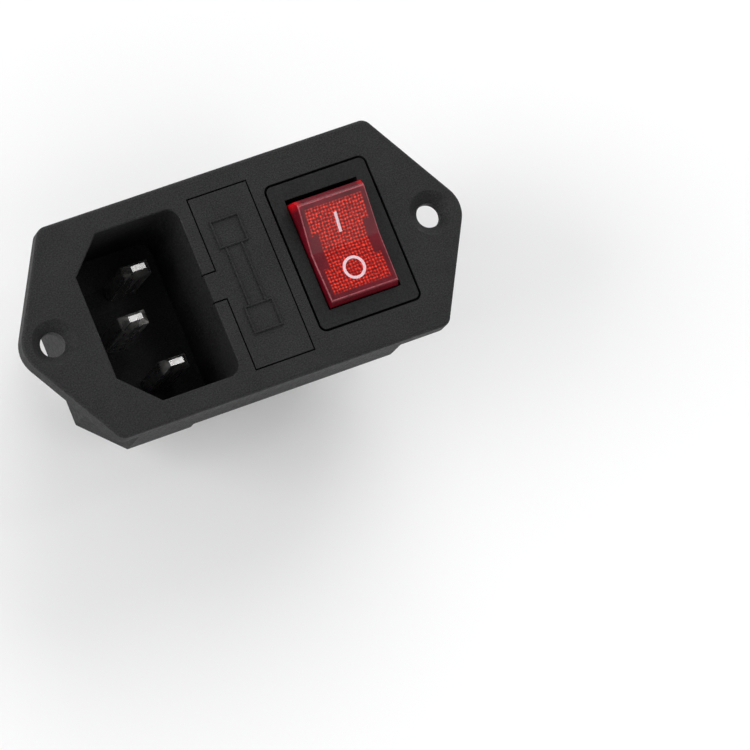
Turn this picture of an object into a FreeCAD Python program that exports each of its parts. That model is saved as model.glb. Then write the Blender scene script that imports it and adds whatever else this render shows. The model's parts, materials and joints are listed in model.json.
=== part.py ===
import FreeCAD, Part
import os
import re

import Sketcher
from FreeCAD import Placement, Rotation, Vector

# A panel power entry module: an appliance inlet, a fuse drawer and a lit rocker switch in one
# moulded housing. The origin lies on the panel plane, midway between the two screw holes.
# X runs from the inlet to the switch, Y across the module and Z out of its front.

# Driving dimensions in millimetres and degrees: name, value, what it measures
SIZES = [
    ("flange_margin", 2.0, "body wall to the long edge of the flange"),
    ("flange_end_margin", 1.35, "end wall to where the long edges end"),
    ("flange_end_angle", 30.0, "slant of the end edges from the Y axis"),
    ("flange_thickness", 2.7, "panel plane to the front face"),
    ("flange_nose_radius", 4.5, "rounding of the two noses"),
    ("flange_corner_radius", 1.6, "rounding of the four obtuse corners"),
    ("flange_edge_round", 0.45, "rounding round the front face"),
    ("screw_hole_diameter", 3.5, "clearance hole of a panel screw"),
    ("screw_head_diameter", 6.4, "countersink at the front face"),
    ("inlet_wall", 1.2, "body walls along the sides of the inlet"),
    ("inlet_end_wall", 1.05, "end wall beside the inlet"),
    ("pocket_end_wall", 1.13, "end wall beside the switch"),
    ("body_chamfer", 5.6, "slant corners round the inlet"),
    ("bay_floor", 3.0, "floor of the fuse bay"),
    ("body_corner_radius", 1.0, "upright edges of the body"),
    ("block_step", 1.8, "how far the inlet block stands behind the rear face"),
    ("block_margin", 1.6, "neutral blade to the step of the inlet block"),
    ("inlet_bay_wall", 1.8, "wall between the inlet and the fuse bay"),
    ("inlet_breadth", 16.8, "inlet opening along X"),
    ("inlet_length", 24.6, "inlet opening along Y"),
    ("inlet_chamfer", 4.9, "slant corners of the inlet opening"),
    ("inlet_corner_radius", 1.8, "round corners of the inlet opening"),
    ("inlet_depth", 17.3, "front face to the inlet floor"),
    ("inlet_mouth_break", 0.15, "chamfer round the mouth of the inlet"),
    ("pin_pitch", 14.0, "between line and neutral pins"),
    ("pin_lead", 2.0, "line and neutral pins past the middle of the inlet"),
    ("earth_lag", 2.0, "earth pin before the middle of the inlet"),
    ("pin_breadth", 4.0, "pin section along X"),
    ("pin_thickness", 2.0, "pin section along Y"),
    ("pin_setback", 5.3, "front face to the line and neutral tips"),
    ("earth_setback", 2.3, "front face to the earth tip"),
    ("pin_taper", 1.6, "length of a tapered tip"),
    ("pin_tip_breadth", 2.0, "flat end of a tip along X"),
    ("pin_tip_thickness", 0.8, "flat end of a tip along Y"),
    ("rivet_diameter", 2.2, "riveted tails and fuse contact rivets"),
    ("rivet_head_diameter", 2.8, "upset heads"),
    ("rivet_head_height", 0.55, "upset heads above the plate"),
    ("rivet_clearance", 0.03, "round a rivet in its hole"),
    ("plate_thickness", 0.8, "terminals and link strip"),
    ("terminal_base_width", 6.1, "terminal foot along Y"),
    ("terminal_width", 4.8, "terminal blade along Y"),
    ("terminal_shoulder", 2.0, "foot to the shoulders of the blade"),
    ("terminal_height", 8.7, "foot to the tip of the blade"),
    ("earth_terminal_height", 7.2, "foot to the tip of the earth blade"),
    ("terminal_reach", 2.25, "rivet to the outer face of the blade"),
    ("terminal_tail", 2.1, "rivet to the free end of the foot"),
    ("earth_reach", 3.45, "rivet to the outer face of the earth blade"),
    ("earth_tail", 1.65, "rivet to the free end of the earth foot"),
    ("terminal_tip_chamfer", 1.1, "corners of a blade tip"),
    ("terminal_hole_diameter", 2.4, "hole for a soldered wire"),
    ("terminal_hole_inset", 4.05, "tip of a blade to its hole"),
    ("terminal_bend_radius", 0.7, "outside of the bend"),
    ("strip_inner_margin", 1.5, "line pin to the inner edge of the narrow part"),
    ("strip_head_margin", 3.1, "line pin to the inner edge of the wide part"),
    ("strip_head_length", 5.7, "length of the wide part"),
    ("strip_end_margin", 2.2, "rivet to the end over the line pin"),
    ("strip_bay_margin", 4.4, "rivet to the end over the fuse bay"),
    ("strip_side_margin", 2.0, "fuse contact rivet to the outer edge of the strip"),
    ("strip_corner", 1.2, "chamfered corners of the strip"),
    ("strip_play", 0.3, "recess round the strip"),
    ("drawer_breadth", 8.68, "drawer front along X"),
    ("bay_wall", 0.8, "body walls at the ends of the fuse bay"),
    ("drawer_clearance", 0.21, "round the drawer in its bay"),
    ("drawer_floor_gap", 3.4, "rear of the drawer to the floor of its bay"),
    ("fuse_stand", 4.0, "floor of the bay to the working fuse"),
    ("bay_hole_diameter", 5.1, "round hole in the floor of the bay"),
    ("tongue_width", 3.9, "prising tongue along Y"),
    ("tongue_thickness", 1.3, "prising tongue along Z"),
    ("fuse_diameter", 5.2, "over the end caps"),
    ("drawer_end_wall", 1.69, "end walls of the drawer past the fuses"),
    ("fuse_cap_length", 5.0, "one end cap"),
    ("fuse_cap_wall", 0.3, "end cap wall"),
    ("fuse_glass_wall", 0.4, "glass tube wall"),
    ("fuse_glass_play", 0.02, "glass in its cap"),
    ("fuse_wire_diameter", 0.3, "melting wire"),
    ("fuse_play", 0.15, "round a fuse in the drawer"),
    ("fuse_gap", 1.3, "between the two fuses"),
    ("spare_cover", 1.85, "drawer front over the spare fuse"),
    ("drawer_back_wall", 1.4, "wall beside the spare fuse"),
    ("drawer_end_play", 0.8, "past each end of a fuse"),
    ("clip_inset", 1.5, "end of a fuse to the middle of its contact"),
    ("clip_width", 4.0, "fuse contact along Y"),
    ("clip_thickness", 0.4, "spring sheet of a fuse contact"),
    ("clip_gap", 0.1, "leg to the fuse cap"),
    ("clip_flare", 0.6, "how far the leg tips open out"),
    ("clip_flare_height", 1.2, "height of the opened tips"),
    ("clip_grip", 2.0, "axis of the fuse to the tips of the legs"),
    ("bay_switch_wall", 1.655, "wall between the fuse bay and the switch recess"),
    ("bezel_breadth", 14.93, "switch bezel along X"),
    ("bezel_end_lap", 1.035, "bezel past the ends of the switch case"),
    ("bezel_thickness", 1.5, "switch bezel along Z"),
    ("bezel_groove", 0.35, "groove round the bezel"),
    ("bezel_corner_radius", 0.8, "bezel corners"),
    ("ledge_thickness", 1.5, "housing wall that the bezel rests on"),
    ("bezel_side_lap", 0.965, "bezel past the sides of the switch case"),
    ("latch_play", 2.0, "snap wedge to the pocket wall"),
    ("switch_shoulder", 0.6, "how much the rear part is narrower at each end"),
    ("switch_shoulder_depth", 6.0, "panel plane to the narrower part"),
    ("switch_recess", 4.1, "rear face of the body to the rear of the switch case"),
    ("switch_floor", 1.5, "floor of the switch case"),
    ("switch_fit", 0.1, "round the switch case in the ledge"),
    ("case_side_wall", 1.0, "side walls of the switch case"),
    ("case_end_wall", 1.35, "end walls of the switch case"),
    ("barrier_thickness", 1.0, "wall between the two poles"),
    ("barrier_height", 6.0, "height of that wall"),
    ("pocket_side_play", 0.95, "switch case to the pocket along X"),
    ("pocket_wall", 1.3, "body walls at the ends of the rear pocket"),
    ("pocket_radius", 1.8, "rear pocket corners"),
    ("notch_depth", 6.0, "cut-out in the end wall"),
    ("notch_width", 17.0, "cut-out at the rear rim"),
    ("notch_floor_width", 10.2, "cut-out at its floor"),
    ("divider_inset", 0.6, "tips of the switch terminals past the cross"),
    ("divider_thickness", 1.05, "cross arms"),
    ("divider_side_margin", 1.4, "switch terminal to the end of a cross arm along X"),
    ("divider_end_margin", 0.65, "switch terminal to the end of a cross arm along Y"),
    ("latch_width", 6.0, "snap wedge along X"),
    ("latch_reach", 0.7, "snap wedge past the case"),
    ("latch_rise", 3.6, "snap wedge along Z"),
    ("latch_gap", 0.05, "snap wedge under the ledge"),
    ("pivot_drop", 2.2, "front face to the rocker axis"),
    ("rocker_tilt", 7.5, "rocker from its middle to either end of travel"),
    ("rocker_fold", 9.0, "slope of each half of the rocker"),
    ("rocker_side_gap", 0.2, "between the rocker and the sides of its opening"),
    ("rocker_side_taper", 0.25, "how much the rocker narrows to its top at each side"),
    ("rocker_crown", 3.13, "axis to the middle of the top"),
    ("rocker_end_slant", 0.7, "top end edge to the end face"),
    ("rocker_end_gap", 0.5, "between the end faces and the ends of the opening"),
    ("rocker_bulge_height", 3.1, "axis to the upper edge of an end face"),
    ("rocker_skirt", 2.6, "axis to the lower edge of the skirt"),
    ("rocker_skirt_slant", 0.75, "end face to the lower end edge"),
    ("rocker_edge_round", 0.3, "rounding of the top edges of the rocker"),
    ("rocker_wall", 1.1, "rocker walls"),
    ("trunnion_diameter", 2.0, "rocker journals"),
    ("trunnion_clearance", 0.08, "round a journal in its bearing"),
    ("trunnion_length", 0.7, "journal past the rocker side"),
    ("pole_margin", 2.1, "axis of a plunger to the side of the opening"),
    ("socket_diameter", 3.2, "spring socket outside"),
    ("socket_bore", 2.3, "spring socket inside"),
    ("socket_reach", 4.4, "axis to the mouth of a socket"),
    ("socket_roof", 0.9, "axis to the closed end of a bore"),
    ("plunger_clearance", 0.07, "round a plunger in its socket"),
    ("plunger_shoulder", 2.3, "axis to the inner end of a plunger"),
    ("plunger_gap", 0.1, "plunger tip to the contact arm at mid travel"),
    ("spring_wire", 0.25, "plunger spring wire"),
    ("spring_coil", 1.7, "plunger spring over the wire centres"),
    ("spring_turns", 5.0, "turns of a plunger spring"),
    ("spring_end_gap", 0.03, "spring to its seats"),
    ("tab_side_margin", 1.5, "middle of a terminal to the side of the opening"),
    ("tab_end_margin", 1.5, "terminal to the end of the opening"),
    ("tab_gap", 3.9, "between the terminals of one pole"),
    ("tab_reach", 6.7, "switch terminal behind the case"),
    ("tab_hole_diameter", 1.8, "hole in a switch terminal"),
    ("tab_hole_inset", 2.4, "tip to that hole"),
    ("tab_tip_chamfer", 0.9, "corners of a tip"),
    ("arm_stand", 4.15, "case floor to the contact arm axis"),
    ("arm_tilt", 6.75, "contact arm from its middle to either end of travel"),
    ("arm_width", 2.6, "contact arm along X"),
    ("arm_thickness", 0.5, "contact arm sheet"),
    ("arm_rise", 3.0, "slope of each half of the arm"),
    ("arm_end_gap", 1.05, "contact arm to the end wall of the case"),
    ("arm_free_gap", 2.95, "free end of the arm to the end wall of the case"),
    ("bead_diameter", 0.7, "bead pressed across the arm, on which it rocks"),
    ("bead_clearance", 0.05, "round the bead in the groove of its post"),
    ("arm_end_margin", 1.1, "moving contact to the end of the arm"),
    ("cradle_width", 2.0, "post under the contact arm"),
    ("cradle_gap", 0.15, "contact arm to its post"),
    ("cradle_base", 1.5, "height of the common plate on the case floor"),
    ("contact_diameter", 2.0, "silver contacts"),
    ("contact_height", 0.4, "silver contacts"),
    ("contact_gap", 0.1, "between the contacts when closed"),
    ("anvil_thickness", 0.6, "bent top of a fixed contact"),
    ("anvil_length", 2.4, "bent top along Y"),
    ("anvil_post", 1.7, "post under the bent top along Y"),
    ("lamp_diameter", 2.6, "neon lamp"),
    ("lamp_end_play", 0.95, "round end of the lamp to the end wall of the rocker"),
    ("lamp_y", 1.7, "axis to the flat end of the lamp"),
    ("lamp_play", 0.05, "lamp under the top of the rocker"),
    ("resistor_diameter", 1.8, "series resistor"),
    ("resistor_gap", 3.4, "lamp to resistor"),
    ("resistor_end_play", 2.1, "resistor to the end wall of the rocker"),
    ("lead_diameter", 0.5, "lamp wires"),
    ("rib_length", 5.6, "locating rib beside the fused line terminal"),
    ("rib_width", 1.3, "locating rib along Y"),
    ("rib_height", 0.5, "locating rib along Z"),
    ("gusset_thickness", 0.9, "gussets between body and flange"),
    ("gusset_reach", 1.2, "gussets out of the body wall"),
    ("gusset_height", 3.2, "gussets along Z"),
    ("gusset_inlet_x", 13.5, "centre to the gusset beside the inlet"),
    ("gusset_switch_x", 9.0, "centre to the gusset beside the switch"),
    ("boss_width", 3.2, "wedge on the switch end wall along Y"),
    ("boss_offset", 1.5, "middle of the wall to that wedge"),
]

# Sizes that follow from the driving dimensions: name, expression
DERIVED = [
    ("bay_half", "drawer_breadth / 2 + drawer_clearance"),
    ("inlet_side", "bay_half + inlet_bay_wall + inlet_breadth + inlet_end_wall"),
    ("switch_middle", "bay_half + bay_switch_wall + bezel_groove + bezel_breadth / 2"),
    ("switch_side", "switch_middle + pocket_breadth / 2 + pocket_end_wall"),
    ("bay_x", "(inlet_side - switch_side) / 2"),
    ("inlet_x", "bay_half + inlet_bay_wall + inlet_breadth / 2 - bay_x"),
    ("switch_x", "bay_x + switch_middle"),
    ("body_width", "inlet_length + 2 * inlet_wall"),
    ("flange_width", "body_width + 2 * flange_margin"),
    ("drawer_length", "body_width - 2 * (bay_wall + drawer_clearance)"),
    ("fuse_length", "drawer_length - 2 * (drawer_end_wall + drawer_end_play)"),
    ("clip_pitch", "fuse_length - 2 * clip_inset"),
    ("spare_drop", "spare_cover + fuse_play + fuse_diameter / 2 - flange_thickness"),
    ("fuse_drop", "spare_drop + fuse_diameter + fuse_gap"),
    ("bay_depth", "fuse_drop + fuse_diameter / 2 + fuse_stand"),
    ("drawer_depth", "bay_depth - drawer_floor_gap"),
    ("clip_rise", "fuse_stand + fuse_diameter / 2 + clip_grip"),
    ("body_depth", "bay_depth + bay_floor"),
    ("switch_breadth", "bezel_breadth - 2 * bezel_side_lap"),
    ("pocket_breadth", "switch_breadth + 2 * pocket_side_play"),
    ("pocket_length", "body_width - 2 * pocket_wall"),
    ("switch_length", "pocket_length - 2 * (latch_reach + latch_play)"),
    ("switch_rear_length", "switch_length - 2 * switch_shoulder"),
    ("switch_depth", "body_depth - switch_recess"),
    ("bezel_length", "switch_length + 2 * bezel_end_lap"),
    ("opening_breadth", "switch_breadth - 2 * case_side_wall"),
    ("opening_length", "switch_length - 2 * case_end_wall"),
    ("body_inlet_end", "inlet_side - bay_x"),
    ("body_switch_end", "switch_side + bay_x"),
    ("flange_corner_x", "body_switch_end + flange_end_margin"),
    ("nose_x", "flange_corner_x + flange_width / 2 * tan(flange_end_angle)"),
    ("screw_spacing", "2 * (nose_x - flange_nose_radius / cos(flange_end_angle))"),
    ("block_edge_x", "inlet_x - pin_lead - terminal_reach - block_margin"),
    ("divider_height", "tab_reach - divider_inset"),
    ("divider_breadth", "2 * (tab_offset + divider_side_margin)"),
    ("divider_length", "tab_pitch + tab_width + 2 * divider_end_margin"),
    ("rocker_breadth", "opening_breadth - 2 * rocker_side_gap"),
    ("rocker_top_breadth", "rocker_breadth - 2 * rocker_side_taper"),
    ("rocker_bulge", "opening_length / 2 - rocker_end_gap"),
    ("rocker_reach", "rocker_bulge - rocker_end_slant"),
    ("rocker_skirt_length", "2 * (rocker_bulge - rocker_skirt_slant)"),
    ("arm_pivot_depth", "switch_depth - switch_floor - arm_stand"),
    ("arm_contact_reach", "opening_length / 2 - arm_end_gap - arm_end_margin"),
    ("arm_free_reach", "opening_length / 2 - arm_free_gap"),
    ("pole_offset", "opening_breadth / 2 - pole_margin"),
    ("tab_offset", "opening_breadth / 2 - tab_side_margin"),
    ("tab_width", "opening_length / 2 - tab_end_margin - tab_gap / 2"),
    ("tab_pitch", "tab_width + tab_gap"),
    ("lamp_length", "rocker_bulge - rocker_wall - lamp_end_play - lamp_y"),
    ("resistor_length", "rocker_bulge - rocker_wall - resistor_end_play + lamp_y - resistor_gap"),
    ("plunger_radius", "socket_bore / 2 - plunger_clearance"),
]

document = FreeCAD.newDocument("power_entry_module")
sheet = document.addObject("Spreadsheet::Sheet", "Sizes")
for row, (name, number, meaning) in enumerate(SIZES, start=1):
    sheet.set(f"A{row}", name)
    sheet.set(f"B{row}", str(number))
    sheet.set(f"C{row}", meaning)
    sheet.setAlias(f"B{row}", name)
document.recompute()



def word_pattern(names):
    return re.compile(r"\b(" + "|".join(names) + r")\b")


EXPRESSIONS = dict(DERIVED)
CELL_PATTERN = word_pattern(name for name, number, meaning in SIZES)
DERIVED_PATTERN = word_pattern(EXPRESSIONS)

# Places worked out from the driving dimensions
FRONT = "flange_thickness"
REAR = "(-body_depth)"
BLOCK_REAR = "(-(body_depth + block_step))"
INLET_FLOOR = "(flange_thickness - inlet_depth)"
LIVE_PIN_X = "(pin_lead - inlet_x)"
EARTH_PIN_X = "(-inlet_x - earth_lag)"
BAY_FLOOR = "(-bay_depth)"
BEZEL_SEAT = "(flange_thickness - bezel_thickness)"
LEDGE_REAR = "(flange_thickness - bezel_thickness - ledge_thickness)"
PIVOT_Z = "(flange_thickness - pivot_drop)"
CASE_REAR = "(-switch_depth)"
CASE_FLOOR = "(switch_floor - switch_depth)"
PLUNGER_REACH = f"({PIVOT_Z} + arm_pivot_depth - arm_thickness - plunger_gap - plunger_radius)"
ROCKER_CEILING = "(rocker_crown - rocker_wall)"
LAMP_Z = f"({ROCKER_CEILING} - lamp_play - lamp_diameter / 2)"
ROCKER_END_TOP = "(rocker_crown + rocker_reach * tan(rocker_fold))"
CLIP_LEG_X = "(fuse_diameter / 2 + clip_gap)"

PLANE_ROLES = {"XY": "XY_Plane", "XZ": "XZ_Plane", "YZ": "YZ_Plane"}
ROUND_EDGE_TOLERANCE = 0.01
pieces = []


def formula(text):
    """The same expression with each size written out down to the cells of the sheet."""
    while DERIVED_PATTERN.search(text):
        text = DERIVED_PATTERN.sub(lambda match: f"({EXPRESSIONS[match[1]]})", text)
    return CELL_PATTERN.sub(r"Sizes.\1", text)


def value(text):
    return float(sheet.evalExpression(formula(text)))


def bind(item, path, text):
    item.setExpression(path, formula(text))


def new_body(label, x="0", y="0", z="0", axis=Vector(0, 0, 1), angle="0"):
    body = document.addObject("PartDesign::Body", label)
    body.Label = label
    rotation = Rotation(axis, value(angle))
    body.Placement = Placement(Vector(value(x), value(y), value(z)), rotation)
    for path, text in (("x", x), ("y", y), ("z", z)):
        bind(body, f"Placement.Base.{path}", text)
    if angle != "0":
        bind(body, "Placement.Rotation.Angle", angle)
    pieces.append(body)
    return body


def new_sketch(body, plane, offset):
    """A sketch on one of the body's own planes, moved along X, Y or Z by the offset."""
    sketch = body.newObject("Sketcher::SketchObject", f"{body.Name}_sketch")
    role = PLANE_ROLES[plane]
    support = next(item for item in body.Origin.OriginFeatures if item.Role == role)
    sketch.AttachmentSupport = (support, [""])
    sketch.MapMode = "FlatFace"
    side = "-" if plane == "XZ" else ""
    bind(sketch, "AttachmentOffset.Base.z", f"{side}({offset})")
    return sketch


def pin_coordinate(sketch, kind, curve, end, text):
    """Holds one coordinate of a point, with an axis standing in for a zero."""
    number = value(text)
    if abs(number) < 1e-9:
        axis = -2 if kind == "DistanceX" else -1
        sketch.addConstraint(Sketcher.Constraint("PointOnObject", curve, end, axis))
        return
    index = sketch.addConstraint(Sketcher.Constraint(kind, curve, end, number))
    bind(sketch, f"Constraints[{index}]", text)


def draw_polygon(sketch, corners):
    first = sketch.GeometryCount
    count = len(corners)
    points = [Vector(value(x), value(y), 0) for x, y in corners]
    for index in range(count):
        line = Part.LineSegment(points[index], points[(index + 1) % count])
        sketch.addGeometry(line, False)
    for index in range(count):
        following = first + (index + 1) % count
        sketch.addConstraint(Sketcher.Constraint("Coincident", first + index, 2, following, 1))
    for index, (x, y) in enumerate(corners):
        pin_coordinate(sketch, "DistanceX", first + index, 1, x)
        pin_coordinate(sketch, "DistanceY", first + index, 1, y)


def draw_circle(sketch, x, y, diameter):
    centre = Vector(value(x), value(y), 0)
    index = sketch.addGeometry(Part.Circle(centre, Vector(0, 0, 1), value(diameter) / 2), False)
    pin_coordinate(sketch, "DistanceX", index, 3, x)
    pin_coordinate(sketch, "DistanceY", index, 3, y)
    size = sketch.addConstraint(Sketcher.Constraint("Diameter", index, value(diameter)))
    bind(sketch, f"Constraints[{size}]", diameter)


def extrude(body, plane, start, end, polygons=(), circles=(), cut=False):
    """A pad, or a pocket when cut is set, from one height to a greater one along the normal."""
    sketch = new_sketch(body, plane, start)
    for corners in polygons:
        draw_polygon(sketch, corners)
    for x, y, diameter in circles:
        draw_circle(sketch, x, y, diameter)
    kind = "Pocket" if cut else "Pad"
    feature = body.newObject(f"PartDesign::{kind}", f"{body.Name}_{kind.lower()}")
    feature.Profile = sketch
    feature.Reversed = cut != (plane == "XZ")
    bind(feature, "Length", f"({end}) - ({start})")
    return feature


def revolve(body, corners):
    """Turns an outline in the XZ plane about the Z axis."""
    sketch = new_sketch(body, "XZ", "0")
    draw_polygon(sketch, corners)
    feature = body.newObject("PartDesign::Revolution", f"{body.Name}_turned")
    feature.Profile = sketch
    feature.ReferenceAxis = (sketch, ["V_Axis"])
    feature.Angle = 360
    return feature


def rectangle(x_low, x_high, y_low, y_high):
    return [(x_low, y_low), (x_high, y_low), (x_high, y_high), (x_low, y_high)]


def edge_names(shape, wanted):
    names = []
    for index, edge in enumerate(shape.Edges, start=1):
        middle = edge.valueAt((edge.FirstParameter + edge.LastParameter) / 2)
        tangent = edge.tangentAt((edge.FirstParameter + edge.LastParameter) / 2)
        if wanted(edge, middle, tangent):
            names.append(f"Edge{index}")
    return names


def dress(body, kind, wanted, size):
    """A fillet or chamfer on the edges that the test picks from the last feature."""
    document.recompute()
    base = body.Tip
    feature = body.newObject(f"PartDesign::{kind}", f"{body.Name}_{kind.lower()}")
    feature.Base = (base, edge_names(base.Shape, wanted))
    bind(feature, "Radius" if kind == "Fillet" else "Size", size)
    return feature


def is_upright(edge, tangent):
    return edge.Curve.TypeId == "Part::GeomLine" and abs(tangent.z) > 1 - ROUND_EDGE_TOLERANCE


def near(number, text):
    return abs(number - value(text)) < ROUND_EDGE_TOLERANCE


def between(number, low, high):
    return value(low) - ROUND_EDGE_TOLERANCE < number < value(high) + ROUND_EDGE_TOLERANCE


def inlet_outline(margin):
    """The inlet opening, chamfered on its earth side, grown by a margin."""
    left = f"-inlet_x - inlet_breadth / 2 - {margin}"
    right = f"-inlet_x + inlet_breadth / 2 + {margin}"
    side = f"(inlet_length / 2 + {margin})"
    slant_x = f"{left} + inlet_chamfer"
    slant_y = f"({side} - inlet_chamfer)"
    return [
        (right, side), (slant_x, side), (left, slant_y),
        (left, f"-{slant_y}"), (slant_x, f"-{side}"), (right, f"-{side}"),
    ]


def strip_outline(margin):
    """The link strip from over the line pin to over the fuse bay, grown by a margin."""
    left = f"({LIVE_PIN_X} - strip_end_margin - {margin})"
    right = f"(bay_x + strip_bay_margin + {margin})"
    low = f"(-clip_pitch / 2 - strip_side_margin - {margin})"
    high = f"(-pin_pitch / 2 + strip_inner_margin + {margin})"
    head = f"(-pin_pitch / 2 + strip_head_margin + {margin})"
    head_end = f"({LIVE_PIN_X} - strip_end_margin + strip_head_length + {margin})"
    return [
        (f"{left} + strip_corner", low), (f"{right} - strip_corner", low),
        (right, f"{low} + strip_corner"), (right, f"{high} - strip_corner"),
        (f"{right} - strip_corner", high), (head_end, high), (head_end, head),
        (f"{left} + strip_corner", head), (left, f"{head} - strip_corner"),
        (left, f"{low} + strip_corner"),
    ]


def body_outline():
    side = "body_width / 2"
    left = "-body_inlet_end"
    return [
        ("body_switch_end", side), (f"{left} + body_chamfer", side),
        (left, f"{side} - body_chamfer"), (left, f"body_chamfer - {side}"),
        (f"{left} + body_chamfer", f"-{side}"), ("body_switch_end", f"-{side}"),
    ]


def block_outline():
    """The raised block behind the inlet, stepped round the neutral terminal and the strip."""
    side = "body_width / 2"
    left = "-body_inlet_end"
    step = "-block_edge_x"
    foot_play = "strip_play"
    foot_low = f"(pin_pitch / 2 - terminal_base_width / 2 - {foot_play})"
    foot_high = f"(pin_pitch / 2 + terminal_base_width / 2 + {foot_play})"
    foot_back = f"({LIVE_PIN_X} - terminal_tail - {foot_play})"
    middle = f"({LIVE_PIN_X} - terminal_tail / 2)"
    strip_left = f"({LIVE_PIN_X} - strip_end_margin - strip_play)"
    strip_low = "(-clip_pitch / 2 - strip_side_margin - strip_play)"
    strip_head = "(-pin_pitch / 2 + strip_head_margin + strip_play)"
    return [
        (step, side), (f"{left} + body_chamfer", side), (left, f"{side} - body_chamfer"),
        (left, f"body_chamfer - {side}"), (f"{left} + body_chamfer", f"-{side}"),
        (step, f"-{side}"), (step, strip_low), (f"{strip_left} + strip_corner", strip_low),
        (strip_left, f"{strip_low} + strip_corner"), (strip_left, f"{strip_head} - strip_corner"),
        (f"{strip_left} + strip_corner", strip_head), (middle, strip_head),
        (middle, foot_low), (foot_back, foot_low), (foot_back, foot_high), (step, foot_high),
    ]


def switch_rectangle(half_breadth, half_length):
    return rectangle(
        f"switch_x - {half_breadth}", f"switch_x + {half_breadth}",
        f"-({half_length})", half_length)


def make_housing():
    body = new_body("housing")
    half_width = "flange_width / 2"
    flange = [
        ("flange_corner_x", half_width), ("-flange_corner_x", half_width), ("-nose_x", "0"),
        ("-flange_corner_x", f"-{half_width}"), ("flange_corner_x", f"-{half_width}"),
        ("nose_x", "0"),
    ]
    extrude(body, "XY", "0", FRONT, [flange])
    dress(body, "Fillet", lambda edge, middle, tangent:
          is_upright(edge, tangent) and abs(middle.y) < ROUND_EDGE_TOLERANCE,
          "flange_nose_radius")
    dress(body, "Fillet", lambda edge, middle, tangent:
          is_upright(edge, tangent) and near(abs(middle.x), "flange_corner_x"),
          "flange_corner_radius")
    dress(body, "Fillet", lambda edge, middle, tangent: near(middle.z, FRONT),
          "flange_edge_round")
    extrude(body, "XY", REAR, "0", [body_outline()])
    dress(body, "Fillet", lambda edge, middle, tangent:
          is_upright(edge, tangent) and near(middle.z, f"{REAR} / 2")
          and near(middle.x, "body_switch_end"), "body_corner_radius")
    extrude(body, "XY", BLOCK_REAR, REAR, [block_outline()])
    cut_inlet(body)
    cut_fuse_bay(body)
    cut_switch_seat(body)
    cut_screw_holes(body)
    add_outer_ribs(body)
    return body


def cut_inlet(body):
    extrude(body, "XY", INLET_FLOOR, FRONT, [inlet_outline("0")], cut=True)
    right = "-inlet_x + inlet_breadth / 2"
    dress(body, "Fillet", lambda edge, middle, tangent:
          is_upright(edge, tangent) and near(middle.x, right)
          and near(abs(middle.y), "inlet_length / 2"), "inlet_corner_radius")
    dress(body, "Chamfer", lambda edge, middle, tangent:
          near(middle.z, FRONT) and between(abs(middle.y), "0", "inlet_length / 2")
          and between(middle.x, "-inlet_x - inlet_breadth / 2", right), "inlet_mouth_break")
    for x, y, seat in pin_seats():
        slot = rectangle(f"{x} - pin_breadth / 2", f"{x} + pin_breadth / 2",
                         f"{y} - pin_thickness / 2", f"{y} + pin_thickness / 2")
        extrude(body, "XY", seat, INLET_FLOOR, [slot], cut=True)


def pin_seats():
    return [
        (LIVE_PIN_X, "(-pin_pitch / 2)", REAR),
        (LIVE_PIN_X, "(pin_pitch / 2)", REAR),
        (EARTH_PIN_X, "0", BLOCK_REAR),
    ]


def cut_fuse_bay(body):
    side = "(drawer_length / 2 + drawer_clearance)"
    bay = rectangle("bay_x - bay_half", "bay_x + bay_half", f"-{side}", side)
    extrude(body, "XY", BAY_FLOOR, FRONT, [bay], cut=True)
    tongue = rectangle(
        "-inlet_x + inlet_breadth / 2 - inlet_mouth_break", "bay_x - bay_half",
        "-tongue_width / 2 - drawer_clearance", "tongue_width / 2 + drawer_clearance")
    extrude(body, "XY", f"{FRONT} - tongue_thickness", FRONT, [tongue], cut=True)
    rivets = [("bay_x", side_y, "rivet_diameter + 2 * rivet_clearance")
              for side_y in ("-clip_pitch / 2", "clip_pitch / 2")]
    extrude(body, "XY", REAR, BAY_FLOOR, circles=rivets, cut=True)
    extrude(body, "XY", REAR, BAY_FLOOR, circles=[("bay_x", "0", "bay_hole_diameter")], cut=True)


def cut_switch_seat(body):
    recess = switch_rectangle("(bezel_breadth / 2 + bezel_groove)",
                              "(bezel_length / 2 + bezel_groove)")
    extrude(body, "XY", BEZEL_SEAT, FRONT, [recess], cut=True)
    dress(body, "Fillet", lambda edge, middle, tangent:
          is_upright(edge, tangent) and near(middle.z, f"({FRONT} + {BEZEL_SEAT}) / 2")
          and near(abs(middle.x - value("switch_x")), "bezel_breadth / 2 + bezel_groove")
          and near(abs(middle.y), "bezel_length / 2 + bezel_groove"),
          "bezel_corner_radius + bezel_groove")
    pocket = switch_rectangle("pocket_breadth / 2", "pocket_length / 2")
    extrude(body, "XY", REAR, LEDGE_REAR, [pocket], cut=True)
    dress(body, "Fillet", lambda edge, middle, tangent:
          is_upright(edge, tangent) and near(abs(middle.x - value("switch_x")), "pocket_breadth / 2")
          and near(abs(middle.y), "pocket_length / 2"), "pocket_radius")
    window = switch_rectangle("(switch_breadth / 2 + switch_fit)", "(switch_length / 2 + switch_fit)")
    extrude(body, "XY", LEDGE_REAR, BEZEL_SEAT, [window], cut=True)
    notch = [
        ("-notch_width / 2", REAR), ("notch_width / 2", REAR),
        ("notch_floor_width / 2", f"{REAR} + notch_depth"),
        ("-notch_floor_width / 2", f"{REAR} + notch_depth"),
    ]
    inner = "(switch_x + pocket_breadth / 2)"
    extrude(body, "YZ", inner, "body_switch_end", [notch], cut=True)


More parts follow.
